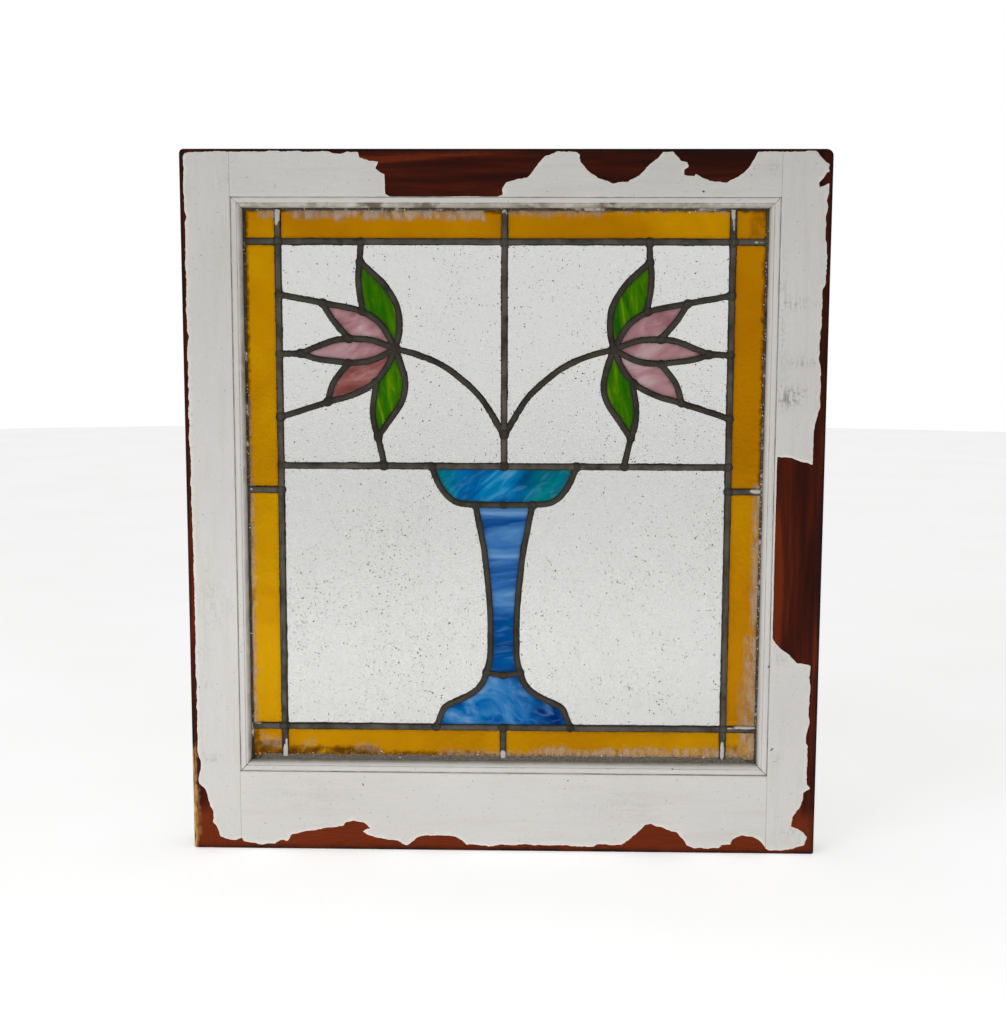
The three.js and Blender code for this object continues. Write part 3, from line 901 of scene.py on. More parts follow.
def edge_came_section():
    """The U section of the came round the panel."""
    front, back = PANEL_FRONT, PANEL_BACK
    tip, lip = EDGE_CAME, FLANGE_FOOT
    upper = [(0.0, front + 0.4), (0.4, front), (tip - 0.9, front), (tip - 0.25, front + 0.25)]
    upper += [(tip, front + 0.8), (tip, PANEL_MIDDLE - lip)]
    lower = [(tip, PANEL_MIDDLE + lip), (tip, back - 0.8), (tip - 0.25, back - 0.25), (tip - 0.9, back)]
    lower += [(0.4, back), (0.0, back - 0.4)]
    heart = [(2 * HEART, PANEL_MIDDLE - lip), (2 * HEART, PANEL_MIDDLE + lip)]
    return upper + heart + lower


# How pale the edge came is on each side, palest on the right and top: rubbed lead, and a painted highlight.
EDGE_RUB_AND_HIGHLIGHT = {"bottom": 0.55, "left": 0.5, "top": 0.7, "right": 0.75}


def build_lead():
    """The came lattice: straight and bent cames, the came round the edge, and soldered joints."""
    shells = Shells()
    for index, (line, half) in enumerate(LINES):
        step = 3.5 if half == BORDER_HALF else 2.5
        add_came(shells, line, half, step, 100 + 5 * index)
    for index, side in enumerate(("bottom", "left", "top", "right")):
        points, faces = mitred_bar(PANEL, side, edge_came_section(), 8.0, 0.0, 0.12, 300 + index)
        patchy = 0.16 + 0.3 * lattice_noise(points[:, 0], points[:, 2], 16, 310)
        shells.add(points, faces, ridge=EDGE_RUB_AND_HIGHLIGHT[side], spill=patchy * (points[:, 1] < PANEL_MIDDLE))
    for index, (place, arms) in enumerate(came_junctions()):
        if len(arms) > 1:
            add_solder(shells, place, arms, 1, 400 + index)
            add_solder(shells, place, arms, -1, 600 + index)
    shells.piece("lead_cames", "lead_came", [LEAD], ["lead_came_lattice"], sharp=55)


def build_cement():
    """Crumbly cement that shows as a ragged dark edge beside every came."""
    shells = Shells()
    for index, (line, half) in enumerate(LINES):
        for side in (1, -1):
            step = 1.3 if side == 1 else 3.0
            path = resampled(line[5:-5], step)
            across = normals_of(path)
            run = np.arange(len(path)) * step
            for hand in (1, -1):
                rng = np.random.default_rng(900 + 4 * index + 2 * hand + side)
                patchy = 0.5 + 0.5 * lattice_noise(run, 0 * run, 13, 700 + index + hand)
                reach = half + 0.2 + 0.85 * patchy * rng.uniform(0.1, 1, len(run)) ** 1.5
                root = half - 0.5 + 0 * run
                section = [(root, 1.4), (root, 2.0), (reach - 0.25, 1.78), (reach, 1.4)]
                rings = []
                for offset, height in section:
                    flat = path + across * (hand * offset)[:, None]
                    depth = PANEL_MIDDLE - side * height + 0 * run
                    rings.append(np.stack([flat[:, 0], depth, flat[:, 1]], axis=1))
                points = np.stack(rings, axis=1).reshape(-1, 3)
                shells.add(points, tube_faces(len(path), 4))
    shells.piece("came_cement", "lead_came", [CEMENT], sharp=60)


# ---------------------------------------------------------------- glass


def outline_of(node):
    """The outline of a glass node's front face."""
    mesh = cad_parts[node].data
    places = {v.index: (round(v.co.x / MM, 2), round(v.co.z / MM, 2)) for v in mesh.vertices}
    ahead = {v.index for v in mesh.vertices if v.co.y / MM < GLASS_FRONT + 0.1}
    sides = {}
    for face in mesh.polygons:
        corners = list(face.vertices)
        if not ahead.issuperset(corners):
            continue
        for a, b in zip(corners, corners[1:] + corners[:1]):
            a, b = places[a], places[b]
            if (b, a) in sides:
                del sides[(b, a)]
            elif a != b:
                sides[(a, b)] = True
    follow = {a: b for a, b in sides}
    start = next(iter(follow))
    outline, here = [start], follow[start]
    while here != start:
        outline.append(here)
        here = follow[here]
    return np.array(outline)


def glass_face(outline, spacing, seed):
    """Points and triangles that fill an outline."""
    closed = np.vstack([outline, outline[:1]])
    rim = []
    for a, b in zip(closed, closed[1:]):
        parts = max(1, int(np.linalg.norm(b - a) / (1.5 * spacing)))
        rim += [a + (b - a) * k / parts for k in range(parts)]
    rim = np.array(rim)
    rng = np.random.default_rng(seed)
    (x0, z0), (x1, z1) = outline.min(0), outline.max(0)
    rows = np.arange(z0, z1, spacing * 0.87)
    grid = []
    for k, z in enumerate(rows):
        columns = np.arange(x0 + (k % 2) * spacing / 2, x1, spacing)
        grid.append(np.stack([columns, np.full(len(columns), z)], axis=1))
    grid = np.vstack(grid)
    grid = grid + rng.uniform(-0.2, 0.2, grid.shape) * spacing
    grid = grid[inside(grid, outline)]
    if len(grid):
        grid = grid[nearest(grid, resampled(closed, spacing / 2)) > 0.55 * spacing]
    coords = np.vstack([rim, grid])
    loop = list(range(len(rim)))
    result = delaunay_2d_cdt([Vector(p) for p in coords.tolist()], [], [loop], 1, 1e-6)
    points = np.array([tuple(p) for p in result[0]])
    return points, [tuple(face) for face in result[2]]


def boundary_loop(faces):
    """The ordered points round triangles that wind one way."""
    follow = {}
    for face in faces:
        for a, b in zip(face, face[1:] + face[:1]):
            follow[(a, b)] = True
    single = {a: b for a, b in follow if (b, a) not in follow}
    start = next(iter(single))
    loop, here = [start], single[start]
    while here != start:
        loop.append(here)
        here = single[here]
    return loop


SMEARS = [
    # x from, x to, z from, z to, softness, strength: old paint smeared on the amber glass
    (-224, -209, 588.5, 610, 2.5, 0.75), (-192, -18, 587.5, 610, 2.5, 0.95), (-198, -186, 592, 610, 3, 0.5),
    (4, 92, 590.5, 610, 3, 0.55), (100, 204, 593.5, 610, 3, 0.45), (-250, -232.5, 118, 346, 2.2, 0.85),
    (-250, -234, 346, 430, 2, 0.5), (230.5, 250, 118, 346, 2.2, 0.8), (225, 250, 118, 205, 4, 0.75),
    (221, 250, 118, 165, 4, 0.35), (30, 205, 70, 96, 2.5, 0.75), (-60, 30, 70, 92.5, 2.5, 0.5),
    (222, 250, 80, 112, 4, 0.85), (206, 250, 70, 95, 3, 0.8), (-229, -220, 97, 108, 3, 0.5),
    (-218, -207, 94, 103, 3, 0.55), (-190, -178, 95, 101, 4, 0.35), (-140, -118, 92, 98, 4, 0.45),
]
STAINS_AND_SHADE = [
    # the same for dark red-brown stain; the band along the top, under the moulding, is painted shade as
    # well
    (-240, -118, 70, 95.5, 2.0, 1.0), (-118, -20, 70, 91.5, 2.0, 0.9), (-20, 240, 70, 89.8, 1.2, 0.8),
    (-240, -209, 70, 101, 3.0, 0.9), (-240, -231, 86, 112, 3.0, 0.8), (-240, 240, 593.8, 610, 1.2, 0.9),
    (-250, -234.2, 346, 600, 1.6, 0.85), (234.4, 250, 346, 600, 1.2, 0.8), (210, 222, 70, 100, 4, 0.5),
    (-250, -234.8, 118, 346, 1.2, 0.6), (222, 240, 572, 600, 4, 0.35),
]


def covered(x, z, patches):
    """How much soft-edged rectangles cover points."""
    amount = np.zeros(len(x))
    for x0, x1, z0, z1, softness, strength in patches:
        depth = np.minimum(np.minimum(x - x0, x1 - x), np.minimum(z - z0, z1 - z))
        amount = np.maximum(amount, strength * np.clip(0.5 + depth / softness, 0, 1))
    return amount


def glass_marks(points):
    """Where amber glass is smeared with paint, or darkened red-brown near the sash: stain, and under the
    top moulding painted shade as well.
    """
    x, z = points[:, 0], points[:, 1]
    drips = 2.2 * lattice_noise(x, z / 5, 3.2, 41) + 1.6 * lattice_noise(x, z, 11, 42)
    ragged = 1.3 * lattice_noise(x, z, 6, 43) + 0.9 * lattice_noise(x, z, 2.8, 44)
    return covered(x + ragged, z + drips, SMEARS), covered(x + 0.6 * ragged, z + 0.8 * ragged, STAINS_AND_SHADE)


AMBER_TONE = {
    "amber_top_left": 0.25, "amber_top_right": 0.4, "amber_bottom_left": 0.5, "amber_bottom_right": 0.45,
    "amber_side_upper_left": 0.5, "amber_side_lower_left": 0.8,
    "amber_side_upper_right": 0.2, "amber_side_lower_right": 0.25,
    "amber_corner_top_left": 0.4, "amber_corner_top_right": 0.15,
    "amber_corner_bottom_left": 0.55, "amber_corner_bottom_right": 0.6,
}


def clear_kinds(middles, seed):
    """Which of the clear glasses each face has: a fine mottling of dust, and painted shade of the grain's
    steep facets.
    """
    rng = np.random.default_rng(seed)
    x, z = middles[:, 0], middles[:, 1]
    shade = 0.55 * lattice_noise(x, z, 3.5, seed) + 0.35 * lattice_noise(x, z, 14, seed + 1)
    shade = shade + rng.normal(0, 0.55, len(x))
    return np.select([shade < -0.55, shade < 0.95, shade < 1.75], [1, 0, 2], 3)


def build_glass_piece(node, slot, materials, spacing, relief, grain, seed, **tones):
    """One piece of glass: textured in relief on its front, gently uneven behind."""
    outline = outline_of(node)
    flat, faces = glass_face(outline, spacing, seed)
    loop = boundary_loop(faces)
    closed = np.vstack([outline, outline[:1]])
    inward = nearest(flat, resampled(closed, 1.0))
    calm = np.clip((inward - 2.4) / 2.5, 0, 1)
    x, z = flat[:, 0], flat[:, 1]
    texture = 0.6 * lattice_noise(x, z, grain, seed + 1) + 0.4 * lattice_noise(x, z, grain * 0.55, seed + 2)
    roll = lattice_noise(x, z, grain * 6, seed + 3)
    front = GLASS_FRONT + 0.02 + relief * calm * (0.5 - 0.5 * texture)
    behind = GLASS_BACK - 0.02 - 0.5 * relief * calm * (0.5 + 0.5 * roll)
    count = len(flat)
    points = np.vstack([np.stack([x, front, z], axis=1), np.stack([x, behind, z], axis=1)])
    skin = [face for face in faces] + [tuple(i + count for i in face[::-1]) for face in faces]
    for a, b in zip(loop, loop[1:] + loop[:1]):
        skin.append((b, a, a + count, b + count))
    kinds = 0
    if len(materials) > 1:
        kinds = np.zeros(len(skin), int)
        kinds[: len(faces)] = clear_kinds(flat[np.array(faces)].mean(axis=1), seed)
    marks = {name: np.tile(np.clip(tone(x, z), 0, 1), 2) for name, tone in tones.items()}
    # The rim mark is highest beside the lead, where the materials paint shade.
    marks["rim"] = np.tile(np.exp(-np.maximum(inward - 1.6, 0) / 1.3), 2)
    if node.startswith("amber"):
        veil, rust = glass_marks(flat)
        marks["veil"], marks["rust"] = np.tile(veil, 2), np.tile(rust, 2)
    shells = Shells()
    shells.add(points, skin, kinds, **marks)
    shells.piece(node + "_glass", slot, materials, [node], sharp=50)


PETAL_REDNESS = {
    "petal_upper_left": 0.15, "petal_middle_left": 0.0, "petal_lower_left": 0.95,
    "petal_upper_right": 0.1, "petal_middle_right": 0.2, "petal_lower_right": 0.15,
}


def build_glass():
    """Every piece of glass of the panel, each from its CAD outline."""
    for index, node in enumerate(sorted(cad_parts)):
        seed = 1000 + 10 * index
        if node.startswith("clear"):
            build_glass_piece(node, "clear_glass", CLEAR, 2.0, 0.16, 1.9, seed)
        elif node.startswith("amber"):
            tone = AMBER_TONE[node]
            build_glass_piece(node, "amber_glass", [AMBER], 2.0, 0.2, 4.0, seed,
                              tone=lambda x, z: tone + 0 * x)
        elif node.startswith("leaf"):
            build_glass_piece(node, "green_glass", [GREEN], 1.6, 0.12, 4.0, seed)
        elif node.startswith("petal"):
            redness = PETAL_REDNESS[node]
            build_glass_piece(node, "pink_glass", [PINK], 1.6, 0.12, 4.0, seed,
                              tint=lambda x, z: redness + 0 * x)
    build_glass_piece("vase_bowl", "blue_glass", [BOWL], 1.6, 0.12, 5.0, 1500,
                      tint=lambda x, z: np.where(x > 0, (x - 8) / 25, (-38 - x) / 18))
    build_glass_piece("vase_column", "blue_glass", [COLUMN], 1.6, 0.12, 5.0, 1510,
                      tint=lambda x, z: (228 - z) / 8)
    build_glass_piece("vase_foot", "blue_glass", [FOOT], 1.6, 0.12, 5.0, 1520,
                      tint=lambda x, z: (x - 6) / 18 + (z - 150) / 30 * (x > -10))


def add_fleck(shells, place, depth, radius, height, kind, rng):
    """A tiny irregular crumb: a low closed pyramid on the glass."""
    sides = 4
    turns = rng.uniform(0, math.tau) + np.arange(sides) * math.tau / sides
    reach = radius * rng.uniform(0.55, 1.3, sides)
    stretch = rng.uniform(0.6, 1.5)
    rim = [(place[0] + r * math.cos(a) * stretch, depth, place[1] + r * math.sin(a) / stretch)
           for r, a in zip(reach, turns)]
    points = [(place[0], depth - height, place[1]), (place[0], depth + 0.2, place[1]), *rim]
    faces = [(0, 2 + k, 2 + (k + 1) % sides) for k in range(sides)]
    faces += [(1, 2 + (k + 1) % sides, 2 + k) for k in range(sides)]
    shells.add(points, faces, kind)


def fleck_crowding(x, z):
    """How thickly specks lie on the clear glass, from 0 to 1."""
    clouds = 0.5 + 0.5 * lattice_noise(x, z, 38, 61) + 0.35 * lattice_noise(x, z, 12, 62)
    left = np.exp(-(((x + 105) / 60) ** 2) - ((z - 250) / 85) ** 2)
    right = np.exp(-(((x - 195) / 20) ** 2) - ((z - 285) / 70) ** 2)
    return np.clip(0.14 + 0.45 * clouds**2 + 0.8 * left * clouds + 0.7 * right, 0, 1)


def build_flecks():
    """Soft dark specks of dirt in the grain of the clear glass, thicker beside the cames."""
    shells = Shells()
    rng = np.random.default_rng(70)
    lines = np.vstack([resampled(line, 2.0) for line, _ in LINES])
    for node in sorted(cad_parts):
        if not node.startswith("clear"):
            continue
        outline = outline_of(node)
        (x0, z0), (x1, z1) = outline.min(0), outline.max(0)
        tries = rng.uniform((x0, z0), (x1, z1), (int((x1 - x0) * (z1 - z0) / 5), 2))
        tries = tries[inside(tries, outline)]
        beside = np.exp(-(nearest(tries, lines) - CURVE_HALF) / 2.0)
        crowd = fleck_crowding(tries[:, 0], tries[:, 1]) + 0.9 * beside
        for place in tries[rng.uniform(0, 1, len(tries)) < crowd]:
            radius = float(np.clip(rng.lognormal(-1.2, 0.5), 0.14, 0.9))
            kind = int(rng.choice(3, p=(0.3, 0.4, 0.3)))
            add_fleck(shells, place, GLASS_FRONT + 0.12, radius, 0.2, kind, rng)
    shells.piece("glass_specks", "clear_glass", FLECKS, sharp=30)


DEBRIS = [
    # side, from, to, spread, crumbs, shares of dark, grey, pale and paint crumbs
    ("bottom", -236, 236, 3.0, 1100, (0.35, 0.25, 0.1, 0.3)),
    ("right", -245, 245, 1.3, 520, (0.25, 0.2, 0.15, 0.4)),
    ("left", -250, 215, 1.1, 240, (0.4, 0.3, 0.1, 0.2)),
    ("top", -236, 236, 1.0, 240, (0.45, 0.3, 0.1, 0.15)),
]


def build_debris():
    """Crumbs of paint, putty and rust where the panel meets the moulding, most on the lower ledge."""
    shells = Shells()
    rng = np.random.default_rng(71)
    opening = {**SIGHT, "left": -SIGHT["right"]}
    came = EDGE_CAME - (PANEL["right"] - SIGHT["right"])
    for side, start, end, spread, count, shares in DEBRIS:
        for _ in range(count):
            along, inward = rng.uniform(start, end), 0.3 + abs(rng.normal(0, spread))
            if 0.55 + 0.45 * lattice_noise(along, 0.0, 12, 72) < rng.uniform(0, 0.9):
                continue
            depth = (PANEL_FRONT if inward < came else GLASS_FRONT) + 0.1
            radius, kind = rng.uniform(0.25, 1.0), int(rng.choice(4, p=shares))
            place = side_point(opening, side, along, inward)
            add_fleck(shells, place, depth, radius, rng.uniform(0.3, 0.9), kind, rng)
    shells.piece("ledge_debris", "glazing_putty", FLECKS + [PAINT_CRUMB], sharp=30)


def build_ledge_dirt():
    """Grey-brown dirt packed against the moulding along the bottom of the panel."""
    shells = Shells()
    foot = SIGHT["bottom"] - PANEL["bottom"]
    section = [
        (foot - 0.2, PANEL_FRONT - 1.7), (foot + 1.0, PANEL_FRONT - 1.2), (foot + 2.4, PANEL_FRONT - 0.3),
        (foot + 3.6, GLASS_FRONT - 0.35), (foot + 4.4, GLASS_FRONT - 0.05), (foot + 4.4, GLASS_FRONT + 0.1),
        (EDGE_CAME + 0.1, GLASS_FRONT + 0.1), (EDGE_CAME - 0.1, PANEL_FRONT + 0.1),
        (foot - 0.2, PANEL_FRONT + 0.1),
    ]
    points, faces = mitred_bar(PANEL, "bottom", section, 1.6, foot, 0.55, 77)
    shells.add(points, faces)
    shells.piece("ledge_dirt", "glazing_putty", [LEDGE_DIRT], sharp=60)


# ---------------------------------------------------------------- sash

# The edge of the paint that is left, clockwise from the top left. Outside it the wood is bare.
PAINT_EDGE = [
    # along the top, with its four bare patches
    (-283, 645.2), (-200, 645.6), (-157, 645.4), (-152, 643.8), (-147, 643.8), (-142, 645.3), (-131, 645),
    (-130, 640), (-121, 637), (-113, 636.8), (-115, 630.5), (-108, 625.5), (-107.5, 608.5), (-102.5, 605.6),
    (-70, 605.5), (-44, 606.2), (-6, 605.9), (-2, 608), (-1.5, 613), (1, 618.5), (10, 620.8), (20, 622.3),
    (25, 629), (30, 635.5), (36, 641.5), (46, 645.2), (64, 645.4), (67, 643), (67.5, 637), (75, 628),
    (83, 623), (97, 618), (110, 619), (120, 624), (127, 632), (137, 640), (141, 645), (150, 645.3),
    (157, 637), (162.5, 636.5), (163.5, 632), (160, 629.5), (160, 625), (169, 623.5), (170, 626),
    (182, 620), (196, 618.2), (208, 623), (217, 631), (222, 640), (225, 645.3), (250, 645.6), (276, 646),
    # down the right-hand edge, round the large bare patch
    (278, 644.5), (284, 637), (288, 634.5), (288.5, 628), (286, 627), (279.5, 618), (280, 614),
    (288.5, 617.5), (288.4, 609), (287, 603), (288.5, 597), (286.5, 588), (287, 570), (288.4, 545),
    (288.3, 531), (285.3, 525), (285, 500), (284, 462), (285.6, 455), (286, 420), (283, 408), (281, 392),
    (281, 367), (262, 372.6), (248.6, 374.4), (248.4, 300), (248.6, 206), (253, 200), (263, 191),
    (272, 183), (284, 180.5), (283.6, 170), (284.7, 157), (283.5, 140), (285, 126), (282, 112), (282, 107),
    (284, 104), (283.4, 68), (287, 63.5), (281, 59), (279, 46), (272, 36.5), (270.4, 27), (277, 24.5),
    (285, 17), (283, 9), (272, 4.8), (262, 3.8),
    # back along the bottom
    (250, 3.6), (247, 5), (243, 11), (236, 16), (225, 18), (216, 14), (214, 8.5), (206, 8), (203, 5),
    (182, 4.8), (173, 7), (169, 14), (165, 19), (150, 24.5), (139, 28), (134, 26.5), (120, 13), (112, 7),
    (101, 6.6), (97, 8), (89, 7.2), (86, 5), (60, 6), (22, 6.5), (-3, 6), (-12, 4), (-27, 6), (-34, 5.5),
    (-38, 10), (-44, 13.5), (-52, 14.6), (-74, 14.4), (-81, 12), (-90, 4.6), (-93, 5.5), (-99, 9.5),
    (-112, 10.6), (-126, 14.5), (-131.5, 17.5), (-129, 19.4), (-125, 20.5), (-128, 24.5), (-133, 27),
    (-141, 28), (-148, 26), (-150, 23), (-165, 21), (-188, 17.6), (-199, 14), (-203, 8.2), (-209, 9),
    (-215, 5.5), (-228, 3.8), (-234, 5.8), (-245.3, 7.2), (-246.3, 10),
    # up the left-hand edge from the torn corner
    (-252, 8.3), (-258, 8), (-267, 12), (-270, 20), (-274.3, 26), (-272.6, 29.5), (-274, 37), (-277, 47),
    (-280, 57), (-286.2, 62.5), (-286.4, 68), (-284, 76), (-284.2, 85), (-286.5, 90), (-286.8, 160),
    (-286.6, 240), (-287.5, 330), (-288, 400), (-287.6, 476), (-286.4, 481), (-287.8, 486), (-288, 560),
    (-287.5, 584), (-285.8, 588), (-287.8, 593), (-288.2, 640), (-286.5, 643.5),
]
FILM = 0.35
CHIP_BAND = 0.5
OUTER_ARRIS = 1.3
JOINT_ARRIS = 0.25
INNER_ARRIS = 0.5
JOINT_GAP = 0.08
FACE_ROOM = 0.12
WALL_LEVEL = 13.0
MORTISE_MOUTH = 4.0


def ragged_paint_edge():
    """The paint's edge with the fine unevenness of broken paint."""
    closed = np.array(PAINT_EDGE + PAINT_EDGE[:1], float)
    edge = resampled(closed, 0.9)[:-1]
    x, z = edge[:, 0], edge[:, 1]
    across = normals_of(edge)
    calm = np.where((abs(x) < 249.5) & (z > 200) & (z < 375) | (abs(z - 605.8) < 0.8), 0.3, 1.0)
    wander = 0.55 * lattice_noise(x, z, 6, 51) + 0.35 * lattice_noise(x, z, 2.2, 52)
    return edge + across * (wander * calm)[:, None]


RAGGED_EDGE = ragged_paint_edge()

SMUDGES = [
    # x, z, half width, half height, strength
    (262, 512, 16, 5, 0.5), (268, 460, 12, 4, 0.6), (262, 430, 16, 9, 0.65), (256, 186, 5, 6, 0.5),
    (257, 424, 8, 6, 0.4), (-268, 235, 16, 22, 0.3), (-274, 88, 8, 4, 0.5), (-276, 157, 3, 2, 0.6),
    (-280, 190, 8, 5, 0.3), (255, 93, 6, 5, 0.3), (270, 24, 8, 10, 0.3), (-250, 620, 14, 10, 0.2),
    (240, 633, 6, 4, 0.4), (120, 45, 50, 14, 0.16), (-180, 50, 60, 16, 0.12), (250, 500, 4, 60, 0.3),
]


class Member:
    """One member of the sash, seen from the front as a rectangle with worn outer corners."""

    def __init__(self, name, along, left, right, bottom, top):
        self.name, self.along = name, along
        self.left, self.right, self.bottom, self.top = left, right, bottom, top
        self.is_stile = along == "z"

    def arris(self):
        """How far each edge is rounded: left, right, bottom and top."""
        if self.is_stile:
            inner = INNER_ARRIS
            sides = (OUTER_ARRIS, inner) if self.left < 0 else (inner, OUTER_ARRIS)
            return (*sides, OUTER_ARRIS, OUTER_ARRIS)
        ends = (JOINT_ARRIS, JOINT_ARRIS)
        return (*ends, OUTER_ARRIS, INNER_ARRIS) if self.bottom < 1 else (*ends, INNER_ARRIS, OUTER_ARRIS)

    def outline(self, step=3.0):
        """The front's outline, with a stile's outer corners worn round and stops at its mortises."""
        stops = []
        if self.is_stile:
            for low, high in TENON_HEIGHTS:
                low, high = low - MORTISE_CLEARANCE, high + MORTISE_CLEARANCE
                stops += [low, low + 0.03, high - 0.03, high]
        corners = []
        for sx, sz in ((-1, -1), (1, -1), (1, 1), (-1, 1)):
            x = self.left if sx < 0 else self.right
            z = self.bottom if sz < 0 else self.top
            worn = self.is_stile and abs(x) > HALF_WIDTH - 1
            radius = WORN_CORNER[(sx, sz)] if worn else 0.0
            start = math.atan2(sz, sx) - math.pi / 4
            if radius:
                for k in range(5):
                    turn = start + k * math.pi / 8
                    corners.append((x - sx * radius + radius * math.cos(turn),
                                    z - sz * radius + radius * math.sin(turn)))
            else:
                corners.append((x, z))
        points = []
        for (x0, z0), (x1, z1) in zip(corners, corners[1:] + corners[:1]):
            length = math.hypot(x1 - x0, z1 - z0)
            shares = list(np.linspace(0, 1, max(1, round(length / step)), endpoint=False))
            if abs(x1 - x0) < 0.01 and abs(x0) > HALF_WIDTH - 1 and length > 100:
                shares += [(stop - z0) / (z1 - z0) for stop in stops]
            points += [(x0 + (x1 - x0) * s, z0 + (z1 - z0) * s) for s in sorted(shares)]
        return np.array(points)


def edge_distances(member, points):
    """The distance of points from the member's four sides: left, right, bottom and top."""
    x, z = points[:, 0], points[:, 1]
    return x - member.left, member.right - x, z - member.bottom, member.top - z


def rounding(member, points):
    """How far back the rounded arrises lie at points of a face."""
    back = np.zeros(len(points))
    for distance, radius in zip(edge_distances(member, points), member.arris()):
        dip = np.clip(radius - distance, 0, radius)
        back = np.maximum(back, radius - np.sqrt(np.maximum(radius**2 - dip**2, 0)))
    if member.is_stile:
        sign = -1 if member.left < 0 else 1
        for end in (-1, 1):
            radius = WORN_CORNER[(sign, end)]
            cx = sign * (HALF_WIDTH - radius)
            cz = (member.top if end > 0 else member.bottom) - end * radius
            beyond = (sign * (points[:, 0] - cx) > 0) & (end * (points[:, 1] - cz) > 0)
            distance = radius - np.hypot(points[:, 0] - cx, points[:, 1] - cz)
            dip = np.clip(OUTER_ARRIS - distance, 0, OUTER_ARRIS)
            bent = OUTER_ARRIS - np.sqrt(np.maximum(OUTER_ARRIS**2 - dip**2, 0))
            back = np.where(beyond, np.maximum(back, bent), back)
    return back


def filled(member, outline, extra, chains, spacing, seed):
    """Triangles over the member's outline through its arris rows, extra points and chains of edges."""
    rng = np.random.default_rng(seed)
    rows = []
    for share in (0.1, 0.3, 0.6, 1.0):
        for x, z in outline:
            pull = [0.0, 0.0]
            distances = [d[0] for d in edge_distances(member, np.array([[x, z]]))]
            radii = member.arris()
            for k, (distance, radius) in enumerate(zip(distances, radii)):
                if distance < 0.05:
                    pull[k // 2] += radius * share * (1 if k % 2 == 0 else -1)
            if pull != [0.0, 0.0]:
                rows.append((x + pull[0], z + pull[1]))
    rows = np.array(rows)
    xs = np.arange(member.left + 2, member.right - 1, spacing)
    zs = np.arange(member.bottom + 2, member.top - 1, spacing)
    grid = np.stack(np.meshgrid(xs, zs), axis=-1).reshape(-1, 2)
    grid = grid + rng.uniform(-0.3, 0.3, grid.shape) * spacing
    anchors = np.vstack([outline, rows] + ([extra] if len(extra) else []))
    grid = grid[nearest(grid, anchors) > 0.8]
    coords = np.vstack([outline, rows, grid] + ([extra] if len(extra) else []))
    edges = [(k, (k + 1) % len(outline)) for k in range(len(outline))]
    offset = len(outline) + len(rows) + len(grid)
    edges += [(offset + a, offset + b) for a, b in chains]
    result = delaunay_2d_cdt([Vector(p) for p in coords.tolist()], edges, [], 0, 1e-5)
    points = np.array([tuple(p) for p in result[0]])
    faces = np.array([tuple(face) for face in result[2]])
    middles = points[faces].mean(axis=1)
    kept = faces[inside(middles, outline)]
    used = np.unique(kept)
    renumber = np.full(len(points), -1)
    renumber[used] = np.arange(len(used))
    return points[used], [tuple(face) for face in renumber[kept].tolist()]


def smudge_at(x, z):
    """How smudged the front is."""
    amount = np.zeros(len(x))
    for cx, cz, half_width, half_height, strength in SMUDGES:
        amount += strength * np.exp(-(((x - cx) / half_width) ** 2) - ((z - cz) / half_height) ** 2)
    return np.clip(amount, 0, 1)


def edge_darkening(x, z):
    """How dark the bare wood of the front is towards the sash's outer edges."""
    spare = HALF_WIDTH - abs(x)
    sides = 0.35 * np.clip(1 - spare / 7, 0, 1) + 0.55 * np.clip(1 - spare / 3, 0, 1)
    ends = np.clip(1 - z / 5, 0, 1) + np.clip(1 - (HEIGHT - z) / 3.5, 0, 1)
    return np.clip(np.maximum(sides, ends), 0, 1)


def raw_wood(x, z):
    """Where the front's lower left edge is torn to raw wood."""
    corner = np.clip((-286.5 - x) / 2, 0, 1) * np.clip((62 - z) / 6, 0, 1) * np.clip((z - 8) / 6, 0, 1)
    edge = np.clip((-289 - x) / 1.5, 0, 1) * np.clip((104 - z) / 10, 0, 1)
    return np.maximum(corner, edge)


def wall_marks(points):
    """The marks of a board's edges and back: grimy, worn at the corners, and torn low on the left."""
    x, y, z = points.T
    spare = np.minimum(HALF_WIDTH - abs(x), np.minimum(z, HEIGHT - z))
    return {
        "grime": np.where(y < 16, 0.5, 0.2),
        "wear": np.clip(0.45 - spare / 14, 0, 1) + 0.12,
        "raw": np.where((x < -291) & (z < 100) & (z > 8) & (y < -8), 0.8, 0.0),
    }


